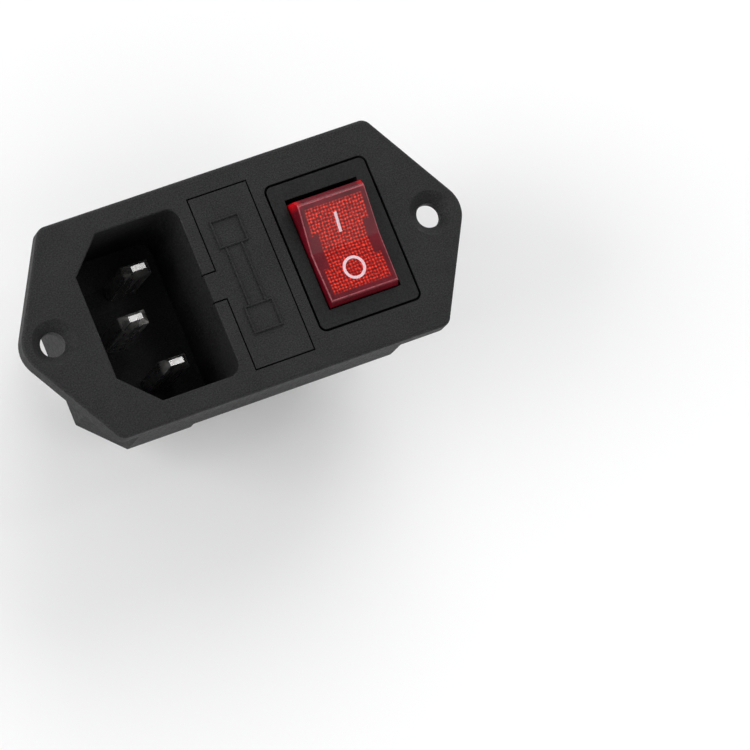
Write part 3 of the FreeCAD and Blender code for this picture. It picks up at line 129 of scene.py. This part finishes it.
# Rocker, in its own tilted frame: across, along, and up from its axis
ROCKER_PIVOT = Vector(JOINTS["rocker_hinge"]["pos_m"])
ROCKER_TILT = math.radians(JOINTS["rocker_hinge"]["range_deg"][1] / 2)
ROCKER_MATRIX = Matrix.Translation(ROCKER_PIVOT) @ Matrix.Rotation(ROCKER_TILT, 4, "X")
TOP_SLOPE = math.tan(math.radians(9.0))  # each half of the top rises from the fold
TOP_AT_FOLD = 3.13 * MM
FOLD_ROUND = 0.7 * MM
SIDE_DRAFT = 0.125  # how far a side leans in for each unit of height
SIDE_PLANE = 5.577 * MM  # from the middle to where a leaning side would meet the axis' height
END_EDGE = 6.78 * MM  # where the top starts to round off into an end
# Painted highlight along the rim of the rocker's top: the width of its line and its colour
RIM_HIGHLIGHT_WIDTH = 0.16 * MM
PAINTED_RIM_HIGHLIGHT = (0.45, 0.1, 0.12)

# Prisms under the rocker's top: a field with a notch in the middle of both long sides
FIELD_HALF_WIDTH = 4.3 * MM
FIELD_WAIST = 3.35 * MM
FIELD_HALF_LENGTH = 6.05 * MM
NOTCH_HALF_LENGTH = 2.45 * MM
FIELD_SOFT = 0.12 * MM
TOP_LOWEST = 3.05 * MM  # the prisms fade out just below this height
PRISM_PITCH = 0.47 * MM
PRISM_SWAY = 0.09 * MM
ROW_SHARE, LINE_SHARE, SPECKLE_SHARE = 0.3, 0.34, 1.4
PRISM_COLOURS = [(0.32, (0.06, 0.0, 0.001)), (0.52, (0.27, 0.003, 0.003)), (0.7, (0.95, 0.05, 0.022))]
LENS_COLOURS = [(0.3, (0.07, 0.001, 0.005)), (0.7, (0.13, 0.003, 0.010))]

# The raised end's side corners, lit with painted light as if light came through the plastic
GLOW_START, GLOW_FULL = 6.2 * MM, 7.4 * MM
GLOW_INNER, GLOW_OUTER = 4.2 * MM, 5.2 * MM
PAINTED_LENS_GLOW = (0.5, 0.001, 0.005)

# Printed marks on the rocker
INK_HEIGHT = 0.03 * MM
INK_SINK = 0.02 * MM
MARK_X = -0.14 * MM
BAR_WIDTH = 0.42 * MM
BAR_SPAN = (1.8 * MM, 4.62 * MM)
RING_CENTRE = (MARK_X, -3.4 * MM)
RING_OUTER, RING_INNER = 1.64 * MM, 1.24 * MM
CIRCLE_STEPS = 48

# Raised fuse outline on the drawer
FRONT_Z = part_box("housing")[1].z
RIDGE_WIDTH = 0.34 * MM
RIDGE_HEIGHT = 0.26 * MM
RIDGE_SINK = 0.01 * MM
CAP_LEFT, CAP_RIGHT = -1.8 * MM, 2.3 * MM
CAP_SPANS = {"upper": (4.8 * MM, 8.6 * MM), "lower": (-7.8 * MM, -4.0 * MM)}
TUBE_EDGES = {"left": -1.05 * MM, "right": 1.35 * MM}

# Plunger springs, in the rocker's frame: the wire's centre line runs from low to high
SPRING_WIRE = 0.25 * MM
SPRING_RADIUS = 0.85 * MM
SPRING_TURNS = 5
SPRING_LOW, SPRING_HIGH = -2.145 * MM, 0.745 * MM
SPRING_STEPS = 28
WIRE_SIDES = 8

# Ejector marks behind the inlet block
EJECTOR_MARKS = {"upper": (-19.3 * MM, 5.9 * MM), "lower": (-19.4 * MM, -6.9 * MM)}
EJECTOR_RADIUS = 1.15 * MM
EJECTOR_LINE = 0.12 * MM

# Edges that are rounded in the mesh
BROKEN_EDGE = 0.12 * MM
SHARP_ANGLE = math.radians(50.0)
BLADES = ("terminal", "switch_common", "switch_fixed")  # how the blades' names start


def new_material(name, roughness):
    """A material with a principled shader, and the shader to plug things into."""
    material = bpy.data.materials.new(name)
    material.use_nodes = True
    shader = material.node_tree.nodes["Principled BSDF"]
    shader.inputs["Roughness"].default_value = roughness
    return material, material.node_tree, shader


def add_node(tree, kind, **settings):
    node = tree.nodes.new(kind)
    for name, setting in settings.items():
        setattr(node, name, setting)
    return node


def object_space(tree, scale=(1.0, 1.0, 1.0)):
    """The model's own coordinates in metres, stretched where a texture needs it."""
    place = add_node(tree, "ShaderNodeTexCoord")
    mapping = add_node(tree, "ShaderNodeMapping")
    mapping.inputs["Scale"].default_value = scale
    tree.links.new(place.outputs["Object"], mapping.inputs["Vector"])
    return mapping.outputs["Vector"]


def rocker_space(tree):
    """Coordinates across, along and above the tilted rocker, from its axis, in metres."""
    place = add_node(tree, "ShaderNodeTexCoord")
    mapping = add_node(tree, "ShaderNodeMapping", vector_type="TEXTURE")
    mapping.inputs["Location"].default_value = ROCKER_PIVOT
    mapping.inputs["Rotation"].default_value = (ROCKER_TILT, 0.0, 0.0)
    tree.links.new(place.outputs["Object"], mapping.inputs["Vector"])
    separate = add_node(tree, "ShaderNodeSeparateXYZ")
    tree.links.new(mapping.outputs["Vector"], separate.inputs["Vector"])
    return separate.outputs["X"], separate.outputs["Y"], separate.outputs["Z"]


def noise(tree, vector, per_metre, detail=3.0, roughness=0.55):
    texture = add_node(tree, "ShaderNodeTexNoise")
    texture.inputs["Scale"].default_value = per_metre
    texture.inputs["Detail"].default_value = detail
    texture.inputs["Roughness"].default_value = roughness
    tree.links.new(vector, texture.inputs["Vector"])
    return texture.outputs["Fac"]


def spread(tree, source, low, high, from_low=0.3, from_high=0.7):
    """Maps one range to another, clamped. By default it takes the middle range of a noise."""
    ranged = add_node(tree, "ShaderNodeMapRange")
    ranged.inputs["From Min"].default_value = from_low
    ranged.inputs["From Max"].default_value = from_high
    ranged.inputs["To Min"].default_value = low
    ranged.inputs["To Max"].default_value = high
    tree.links.new(source, ranged.inputs["Value"])
    return ranged.outputs["Result"]


def ramp(tree, source, stops, interpolation="LINEAR"):
    """Colours along a value: (place, (red, green, blue))."""
    colours = add_node(tree, "ShaderNodeValToRGB")
    colours.color_ramp.interpolation = interpolation
    elements = colours.color_ramp.elements
    while len(elements) < len(stops):
        elements.new(0.5)
    for element, (place, colour) in zip(elements, stops):
        element.position = place
        element.color = (*colour, 1.0)
    tree.links.new(source, colours.inputs["Fac"])
    return colours.outputs["Color"]


def mix_colours(tree, factor, first, second):
    """Goes from one colour to the other as the factor goes from 0 to 1. The second may be plain."""
    mix = add_node(tree, "ShaderNodeMix", data_type="RGBA")
    tree.links.new(factor, mix.inputs["Factor"])
    tree.links.new(first, mix.inputs["A"])
    if isinstance(second, tuple):
        mix.inputs["B"].default_value = (*second, 1.0)
    else:
        tree.links.new(second, mix.inputs["B"])
    return mix.outputs["Result"]


def math_node(tree, operation, first, second=None):
    node = add_node(tree, "ShaderNodeMath", operation=operation)
    for socket, item in zip(node.inputs, (first, second)):
        if item is None:
            continue
        if isinstance(item, (int, float)):
            socket.default_value = item
        else:
            tree.links.new(item, socket)
    return node.outputs["Value"]


def bump(tree, shader, height, strength, depth):
    node = add_node(tree, "ShaderNodeBump")
    node.inputs["Strength"].default_value = strength
    node.inputs["Distance"].default_value = depth
    tree.links.new(height, node.inputs["Height"])
    tree.links.new(node.outputs["Normal"], shader.inputs["Normal"])
    return node


def soften(tree, relief, radius, samples):
    """Rounds the edges under a bump, in the shading alone."""
    rounded = add_node(tree, "ShaderNodeBevel", samples=samples)
    rounded.inputs["Radius"].default_value = radius
    tree.links.new(rounded.outputs["Normal"], relief.inputs["Normal"])


def moulded_black(name, shade, roughness, grain_per_metre, grain_depth):
    """Filled black plastic from a spark-eroded mould: a fine grain with a dull sheen."""
    material, tree, shader = new_material(name, roughness)
    place = object_space(tree)
    grain = noise(tree, place, grain_per_metre, detail=2.0, roughness=0.7)
    patches = noise(tree, place, per_metre=260.0, detail=4.0)
    mixed = math_node(tree, "ADD", math_node(tree, "MULTIPLY", grain, GRAIN_SHARE),
                      math_node(tree, "MULTIPLY", patches, PATCH_SHARE))
    dark = tuple(DARKEST * part for part in shade)
    light = tuple(LIGHTEST * part for part in shade)
    tree.links.new(ramp(tree, mixed, [(GRAIN_DARK_AT, dark), (GRAIN_LIGHT_AT, light)]),
                   shader.inputs["Base Color"])
    sheen = noise(tree, place, per_metre=1400.0)
    tree.links.new(spread(tree, sheen, low=roughness - 0.06, high=roughness + 0.08),
                   shader.inputs["Roughness"])
    relief = bump(tree, shader, grain, strength=1.0, depth=grain_depth)
    soften(tree, relief, EDGE_ROUND, samples=4)
    shader.inputs["Specular IOR Level"].default_value = 0.24
    return material


def rolled_metal(name, dark, light, roughness, stretch):
    """Plated sheet: fine rolling marks along one way, cloudy plating and a few darker spots."""
    material, tree, shader = new_material(name, roughness)
    shader.inputs["Metallic"].default_value = 1.0
    marks = noise(tree, object_space(tree, stretch), per_metre=900.0, detail=4.0)
    clouds = noise(tree, object_space(tree), per_metre=700.0, detail=5.0, roughness=0.65)
    tree.links.new(ramp(tree, clouds, [(STAIN_START, dark), (STAIN_END, light)]),
                   shader.inputs["Base Color"])
    tree.links.new(spread(tree, marks, low=roughness - 0.08, high=roughness + 0.14),
                   shader.inputs["Roughness"])
    bump(tree, shader, marks, strength=0.35, depth=0.012 * MM)
    return material


def clear_glass(name, tint):
    """Drawn glass tube with faint streaks."""
    material, tree, shader = new_material(name, roughness=0.02)
    shader.inputs["Transmission Weight"].default_value = 1.0
    shader.inputs["IOR"].default_value = 1.5
    streaks = noise(tree, object_space(tree), per_metre=900.0)
    dim = tuple(STREAK_SHADE * part for part in tint)
    tree.links.new(ramp(tree, streaks, [(0.3, dim), (0.7, tint)]), shader.inputs["Base Color"])
    return material


def resistor_paint():
    """A sand-coloured resistor with four plain colour rings, between bare tinned wires."""
    material, tree, shader = new_material("resistor_paint", roughness=0.35)
    across, along, _ = rocker_space(tree)
    stops = [(0.0, SAND)]
    for start, colour in RESISTOR_RINGS:
        stops += [(start, colour), (start + RING_SHARE, SAND)]
    share = spread(tree, along, 0.0, 1.0, RESISTOR_LOW, RESISTOR_HIGH)
    rings = ramp(tree, share, stops, interpolation="CONSTANT")
    middle = (RESISTOR_LOW + RESISTOR_HIGH) / 2
    from_middle = math_node(tree, "ABSOLUTE", math_node(tree, "SUBTRACT", along, middle))
    beyond_end = math_node(tree, "GREATER_THAN", from_middle, RESISTOR_HIGH - middle + WIRE_MARGIN)
    beside = math_node(tree, "GREATER_THAN", math_node(tree, "ABSOLUTE", across), RESISTOR_SIDE)
    wire = math_node(tree, "MAXIMUM", beyond_end, beside)
    tree.links.new(mix_colours(tree, wire, rings, WIRE_TIN), shader.inputs["Base Color"])
    tree.links.new(wire, shader.inputs["Metallic"])
    grain = noise(tree, object_space(tree), per_metre=3000.0)
    bump(tree, shader, grain, strength=0.2, depth=0.01 * MM)
    return material


def wave(tree, source, pitch):
    """A smooth wave from 0 to 1 and back, with a crest at every whole pitch."""
    angle = math_node(tree, "MULTIPLY", source, 2.0 * math.pi / pitch)
    crest = math_node(tree, "MULTIPLY", math_node(tree, "COSINE", angle), 0.5)
    return math_node(tree, "ADD", crest, 0.5)


def inside(tree, source, limit, soft):
    """1 where a distance is below a limit, falling to 0 over a soft edge."""
    return spread(tree, source, 1.0, 0.0, limit - soft, limit + soft)


def prism_field(tree, across, along, height):
    """1 over the prisms, and 0 over the clear plastic round them."""
    from_middle = math_node(tree, "ABSOLUTE", across)
    wide = inside(tree, from_middle, FIELD_HALF_WIDTH, FIELD_SOFT)
    narrow = inside(tree, from_middle, FIELD_WAIST, FIELD_SOFT)
    level = math_node(tree, "ABSOLUTE", along)
    past_notch = spread(tree, level, 0.0, 1.0, NOTCH_HALF_LENGTH - FIELD_SOFT,
                        NOTCH_HALF_LENGTH + FIELD_SOFT)
    sides = math_node(tree, "MAXIMUM", narrow, math_node(tree, "MINIMUM", wide, past_notch))
    ends = inside(tree, level, FIELD_HALF_LENGTH, FIELD_SOFT)
    on_top = spread(tree, height, 0.0, 1.0, TOP_LOWEST - FIELD_SOFT, TOP_LOWEST)
    return math_node(tree, "MULTIPLY", math_node(tree, "MULTIPLY", sides, ends), on_top)


def painted_rim_highlight_mask(tree, across, along, height):
    """1 along the rim of the rocker's top, where a highlight is painted as if the clear plastic caught the light.
    """
    level = math_node(tree, "ABSOLUTE", along)
    drafted = math_node(tree, "MULTIPLY", height, SIDE_DRAFT)
    to_side = math_node(tree, "ADD", math_node(tree, "ABSOLUTE", across), drafted)
    sides = spread(tree, to_side, 0.0, 1.0, SIDE_PLANE - RIM_HIGHLIGHT_WIDTH, SIDE_PLANE - RIM_HIGHLIGHT_WIDTH / 2)
    rise = math_node(tree, "MULTIPLY", level, TOP_SLOPE)
    depth = math_node(tree, "SUBTRACT", height, rise)
    near_top = spread(tree, depth, 0.0, 1.0, TOP_AT_FOLD - RIM_HIGHLIGHT_WIDTH, TOP_AT_FOLD - RIM_HIGHLIGHT_WIDTH / 2)
    start = spread(tree, level, 0.0, 1.0, END_EDGE - RIM_HIGHLIGHT_WIDTH / 2, END_EDGE)
    stop = spread(tree, level, 1.0, 0.0, END_EDGE + RIM_HIGHLIGHT_WIDTH / 2, END_EDGE + RIM_HIGHLIGHT_WIDTH)
    edges = math_node(tree, "MAXIMUM", sides, math_node(tree, "MINIMUM", start, stop))
    broken = spread(tree, noise(tree, object_space(tree), per_metre=1900.0), low=0.25, high=0.85)
    return math_node(tree, "MULTIPLY", math_node(tree, "MULTIPLY", edges, near_top), broken)


def prism_pattern(tree, across, along):
    """Rows and lines of small prisms, uneven as moulded ones are, with speckles of painted light."""
    waver = noise(tree, object_space(tree), per_metre=1500.0)
    sway = spread(tree, waver, -PRISM_SWAY, PRISM_SWAY)
    swayed_across = math_node(tree, "ADD", across, sway)
    swayed_along = math_node(tree, "SUBTRACT", along, sway)
    rows = math_node(tree, "MULTIPLY", wave(tree, swayed_across, PRISM_PITCH), ROW_SHARE)
    lines = math_node(tree, "MULTIPLY", wave(tree, swayed_along, PRISM_PITCH), LINE_SHARE)
    # speckles: painted glints in the colour, and relief in the bump
    speckle = noise(tree, object_space(tree), per_metre=2700.0, roughness=0.75)
    prisms = math_node(tree, "ADD", rows, lines)
    return math_node(tree, "ADD", prisms, math_node(tree, "MULTIPLY", speckle, SPECKLE_SHARE))


def clear_plastic(tree, across, along):
    """Dark red where nothing scatters the light, with a painted glow at the raised end's side corners."""
    deep = ramp(tree, noise(tree, object_space(tree), per_metre=420.0), LENS_COLOURS)
    near_end = spread(tree, along, 0.0, 1.0, GLOW_START, GLOW_FULL)
    near_side = spread(tree, math_node(tree, "ABSOLUTE", across), 0.0, 1.0, GLOW_INNER, GLOW_OUTER)
    # painted glow: light through the plastic, painted into the colour at these corners
    corner = math_node(tree, "MULTIPLY", near_end, near_side)
    return mix_colours(tree, corner, deep, PAINTED_LENS_GLOW)


def red_lens():
    """Clear red plastic over a field of small prisms that scatter the light."""
    material, tree, shader = new_material("red_lens", roughness=0.3)
    across, along, height = rocker_space(tree)
    pattern = prism_pattern(tree, across, along)
    lit = ramp(tree, math_node(tree, "MULTIPLY", pattern, 0.5), PRISM_COLOURS)
    field = prism_field(tree, across, along, height)
    body = mix_colours(tree, field, clear_plastic(tree, across, along), lit)
    # a painted highlight along the top's rim, over the lens colour
    with_rim_highlight = mix_colours(tree, painted_rim_highlight_mask(tree, across, along, height), body, PAINTED_RIM_HIGHLIGHT)
    tree.links.new(with_rim_highlight, shader.inputs["Base Color"])
    soften(tree, bump(tree, shader, pattern, strength=0.35, depth=0.04 * MM), FOLD_ROUND, samples=8)
    shader.inputs["Specular IOR Level"].default_value = 0.22
    shader.inputs["Coat Weight"].default_value = 0.18
    shader.inputs["Coat Roughness"].default_value = 0.1
    return material


def printed_ink():
    """Pale ink that lets some of the red through where it is thin."""
    material, tree, shader = new_material("printed_ink", roughness=0.45)
    coverage = noise(tree, object_space(tree), per_metre=5200.0, detail=4.0, roughness=0.7)
    colours = ramp(tree, coverage, [(0.3, INK_WORN), (0.6, INK_FULL)])
    tree.links.new(colours, shader.inputs["Base Color"])
    bump(tree, shader, coverage, strength=0.3, depth=0.01 * MM)
    return material


def dress(name, material):
    """Gives a node of the frame one material in place of its plain one."""
    slots = NODES[name].data.materials
    slots.clear()
    slots.append(material)


def mesh_object(name, build, material, body, matrix=None):
    """A new piece from a bmesh function, in place, riding on a body."""
    shape = bmesh.new()
    build(shape)
    bmesh.ops.recalc_face_normals(shape, faces=shape.faces)
    mesh = bpy.data.meshes.new(name)
    shape.to_mesh(mesh)
    shape.free()
    if matrix is not None:
        mesh.transform(matrix)
    mesh.materials.append(material)
    piece = bpy.data.objects.new(name, mesh)
    bpy.context.scene.collection.objects.link(piece)
    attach(piece, body)
    return piece


def add_points(shape, points):
    return [shape.verts.new(point) for point in points]


def bridge(shape, row, after):
    """A band of faces between two closed rows with the same number of points."""
    for step in range(len(row)):
        following = (step + 1) % len(row)
        shape.faces.new((row[step], row[following], after[following], after[step]))


def closed_band(shape, loops):
    """Joins closed loops of points, each to the next and the last to the first."""
    rows = [add_points(shape, loop) for loop in loops]
    for index, row in enumerate(rows):
        bridge(shape, row, rows[(index + 1) % len(rows)])


def block(shape, low_points, high_points):
    """A closed solid between two outlines with the same number of points."""
    low = add_points(shape, low_points)
    high = add_points(shape, high_points)
    shape.faces.new(low[::-1])
    shape.faces.new(high)
    bridge(shape, low, high)


def circle(centre, radius):
    angles = [2 * math.pi * step / CIRCLE_STEPS for step in range(CIRCLE_STEPS)]
    return [(centre[0] + radius * math.cos(a), centre[1] + radius * math.sin(a)) for a in angles]


def rectangle_ridge(x_low, x_high, y_low, y_high, base):
    """A raised line round a rectangle, half as wide at its top."""
    def loop(outward, z):
        return [(x_low - outward, y_low - outward, z), (x_high + outward, y_low - outward, z),
                (x_high + outward, y_high + outward, z), (x_low - outward, y_high + outward, z)]
    foot = RIDGE_WIDTH / 2
    crest = foot / 2

    def build(shape):
        closed_band(shape, [loop(foot, base), loop(crest, base + RIDGE_HEIGHT),
                            loop(-crest, base + RIDGE_HEIGHT), loop(-foot, base)])
    return build


def straight_ridge(x, y_low, y_high, base):
    """A raised line along Y, half as wide at its top."""
    def outline(half, z):
        return [(x - half, y_low, z), (x + half, y_low, z), (x + half, y_high, z), (x - half, y_high, z)]
    foot = RIDGE_WIDTH / 2

    def build(shape):
        block(shape, outline(foot, base), outline(foot / 2, base + RIDGE_HEIGHT))
    return build


def add_drawer_symbol(material):
    """The outline of a cartridge fuse in fine raised lines on the drawer front."""
    base = FRONT_Z - RIDGE_SINK
    for end, (low, high) in CAP_SPANS.items():
        mesh_object(f"drawer_symbol_{end}_cap", rectangle_ridge(CAP_LEFT, CAP_RIGHT, low, high, base),
                    material, "drawer")
    tube_low, tube_high = CAP_SPANS["lower"][1], CAP_SPANS["upper"][0]
    for side, x in TUBE_EDGES.items():
        mesh_object(f"drawer_symbol_tube_{side}", straight_ridge(x, tube_low, tube_high, base),
                    material, "drawer")


def on_rocker_top(points, lift):
    """Points over the folded top, in the rocker's own frame."""
    return [(x, y, TOP_AT_FOLD + abs(y) * TOP_SLOPE + lift) for x, y in points]


def add_rocker_marks(material):
    """A bar on the rocker's raised half and a ring on the other, as thin layers of ink."""
    left, right = MARK_X - BAR_WIDTH / 2, MARK_X + BAR_WIDTH / 2
    low, high = BAR_SPAN
    corners = [(left, low), (right, low), (right, high), (left, high)]
    outer, inner = circle(RING_CENTRE, RING_OUTER), circle(RING_CENTRE, RING_INNER)

    def bar(shape):
        block(shape, on_rocker_top(corners, -INK_SINK), on_rocker_top(corners, INK_HEIGHT))

    def ring(shape):
        closed_band(shape, [on_rocker_top(outer, -INK_SINK), on_rocker_top(outer, INK_HEIGHT),
                            on_rocker_top(inner, INK_HEIGHT), on_rocker_top(inner, -INK_SINK)])

    mesh_object("rocker_mark_on", bar, material, "rocker_group", ROCKER_MATRIX)
    mesh_object("rocker_mark_off", ring, material, "rocker_group", ROCKER_MATRIX)


def spring_height(turn):
    """The wire's height after some turns: the end turns lie closed, the middle ones open."""
    open_pitch = (SPRING_HIGH - SPRING_LOW - 2 * SPRING_WIRE) / (SPRING_TURNS - 2)
    if turn <= 1:
        return SPRING_LOW + turn * SPRING_WIRE
    if turn >= SPRING_TURNS - 1:
        return SPRING_HIGH - (SPRING_TURNS - turn) * SPRING_WIRE
    return SPRING_LOW + SPRING_WIRE + (turn - 1) * open_pitch


def wire_section(x, turn):
    """Points round the spring's wire after some turns about an upright line at x."""
    around = 2 * math.pi * turn
    points = []
    for side in range(WIRE_SIDES):
        tilt = 2 * math.pi * side / WIRE_SIDES
        radius = SPRING_RADIUS + SPRING_WIRE / 2 * math.cos(tilt)
        height = spring_height(turn) + SPRING_WIRE / 2 * math.sin(tilt)
        points.append((x + radius * math.cos(around), radius * math.sin(around), height))
    return points


def coil(x):
    """A coil spring with a round wire and closed ends."""
    def build(shape):
        rows = [add_points(shape, wire_section(x, step / SPRING_STEPS))
                for step in range(SPRING_TURNS * SPRING_STEPS + 1)]
        for row, after in zip(rows, rows[1:]):
            bridge(shape, row, after)
        shape.faces.new(rows[0][::-1])
        shape.faces.new(rows[-1])
        for face in shape.faces:
            face.smooth = True
    return build


def add_plunger_springs(material):
    """Coil springs riding on their plungers, in place of the plain spring parts."""
    for side in ("left", "right"):
        joint = JOINTS[f"plunger_{side}_slide"]
        x = joint["pos_m"][0] - ROCKER_PIVOT.x
        body = f"plunger_{side}_group"
        spring = mesh_object(f"coil_spring_{side}", coil(x), material, body,
                             ROCKER_MATRIX)
        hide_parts(f"plunger_spring_{side}")
        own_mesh(spring)


def add_ejector_marks(material):
    """Raised rims where the mould's ejector pins pushed the inlet block out."""
    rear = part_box("housing")[0].z
    foot, crest = rear + RIDGE_SINK, rear - EJECTOR_LINE / 2
    bevel = EJECTOR_LINE / 4
    inner = EJECTOR_RADIUS - EJECTOR_LINE
    profile = [(EJECTOR_RADIUS, foot), (EJECTOR_RADIUS - bevel, crest),
               (inner + bevel, crest), (inner, foot)]
    for place, centre in EJECTOR_MARKS.items():
        loops = [[(x, y, z) for x, y in circle(centre, radius)] for radius, z in profile]
        mesh_object(f"ejector_mark_{place}", lambda shape: closed_band(shape, loops), material,
                    "root")


def break_edges(names):
    """Breaks the sharp edges of solid nodes, where a tool or a mould leaves them soft."""
    for name in names:
        rounded = NODES[name].modifiers.new("soft_edges", "BEVEL")
        rounded.width = BROKEN_EDGE
        rounded.segments = 2
        rounded.limit_method = "ANGLE"
        rounded.angle_limit = SHARP_ANGLE


def add_floor():
    """A pale paper floor, level with the tips of the lowest blades."""
    bpy.ops.mesh.primitive_plane_add(size=FLOOR_SIZE, location=(0, 0, cad_low.z))
    floor = bpy.context.object
    floor.name = "floor"
    material, tree, shader = new_material("floor_paper", roughness=0.9)
    tone = noise(tree, object_space(tree), per_metre=3.0)
    tree.links.new(ramp(tree, tone, FLOOR_TONES), shader.inputs["Base Color"])
    floor.data.materials.append(material)


def add_lamp(name, place, size, watts):
    """A round area lamp that points at the origin."""
    data = bpy.data.lights.new(name, "AREA")
    data.shape = "DISK"
    data.size = size
    data.energy = watts
    lamp = bpy.data.objects.new(name, data)
    bpy.context.scene.collection.objects.link(lamp)
    lamp.location = place
    lamp.rotation_mode = "QUATERNION"
    lamp.rotation_quaternion = (-lamp.location).to_track_quat("-Z", "Y")


def add_lights():
    """A bright horizon with a dim zenith, and the lamps."""
    world = bpy.data.worlds.new("studio")
    bpy.context.scene.world = world
    world.use_nodes = True
    tree = world.node_tree
    background = tree.nodes["Background"]
    place = add_node(tree, "ShaderNodeTexCoord")
    separate = add_node(tree, "ShaderNodeSeparateXYZ")
    tree.links.new(place.outputs["Generated"], separate.inputs["Vector"])
    tree.links.new(ramp(tree, separate.outputs["Z"], SKY), background.inputs["Color"])
    background.inputs["Strength"].default_value = SKY_STRENGTH
    for name, (lamp_place, size, watts) in LAMPS.items():
        add_lamp(name, lamp_place, size, watts)


def add_camera():
    """The camera looks at its aim from the photograph's direction, rolled about its own axis."""
    data = bpy.data.cameras.new("camera")
    data.sensor_width = SENSOR_WIDTH
    data.lens = CAMERA_LENS
    data.clip_start = CLIP_START
    data.clip_end = CLIP_END
    camera = bpy.data.objects.new("camera", data)
    bpy.context.scene.collection.objects.link(camera)
    back = Vector((math.sin(CAMERA_AZIMUTH) * math.cos(CAMERA_ELEVATION),
                   -math.cos(CAMERA_AZIMUTH) * math.cos(CAMERA_ELEVATION),
                   math.sin(CAMERA_ELEVATION)))
    camera.location = CAMERA_AIM + back * CAMERA_DISTANCE
    level = (-back).to_track_quat("-Z", "Y").to_matrix().to_4x4()
    camera.rotation_mode = "QUATERNION"
    camera.rotation_quaternion = (level @ Matrix.Rotation(CAMERA_ROLL, 4, "Z")).to_quaternion()
    bpy.context.scene.camera = camera


def finish_surfaces():
    """Dresses the nodes by their slots in the record, and the switch's case in a finer black.

    Returns the materials by slot.
    """
    looks = {"black_plastic": moulded_black("black_plastic", *HOUSING_LOOK)}
    for name, look in METALS.items():
        looks[name] = rolled_metal(name, *look)
    looks["red_lens"] = red_lens()
    looks["lamp_glass"] = clear_glass("lamp_glass", LAMP_TINT)
    looks["fuse_glass"] = clear_glass("fuse_glass", FUSE_TINT)
    looks["resistor_body"] = resistor_paint()
    for part in frame["record"]["subparts"]:
        dress(part["node"], looks[part["material_slot"]])
    dress("switch_body", moulded_black("switch_plastic", *SWITCH_LOOK))
    return looks


surfaces = finish_surfaces()
add_drawer_symbol(surfaces["black_plastic"])
add_rocker_marks(printed_ink())
add_ejector_marks(surfaces["black_plastic"])
add_plunger_springs(surfaces["spring_steel"])
break_edges(["rocker"] + [name for name in NODES if name.startswith(BLADES)])
add_floor()
add_lights()
add_camera()
bpy.context.scene.view_settings.view_transform = "Standard"
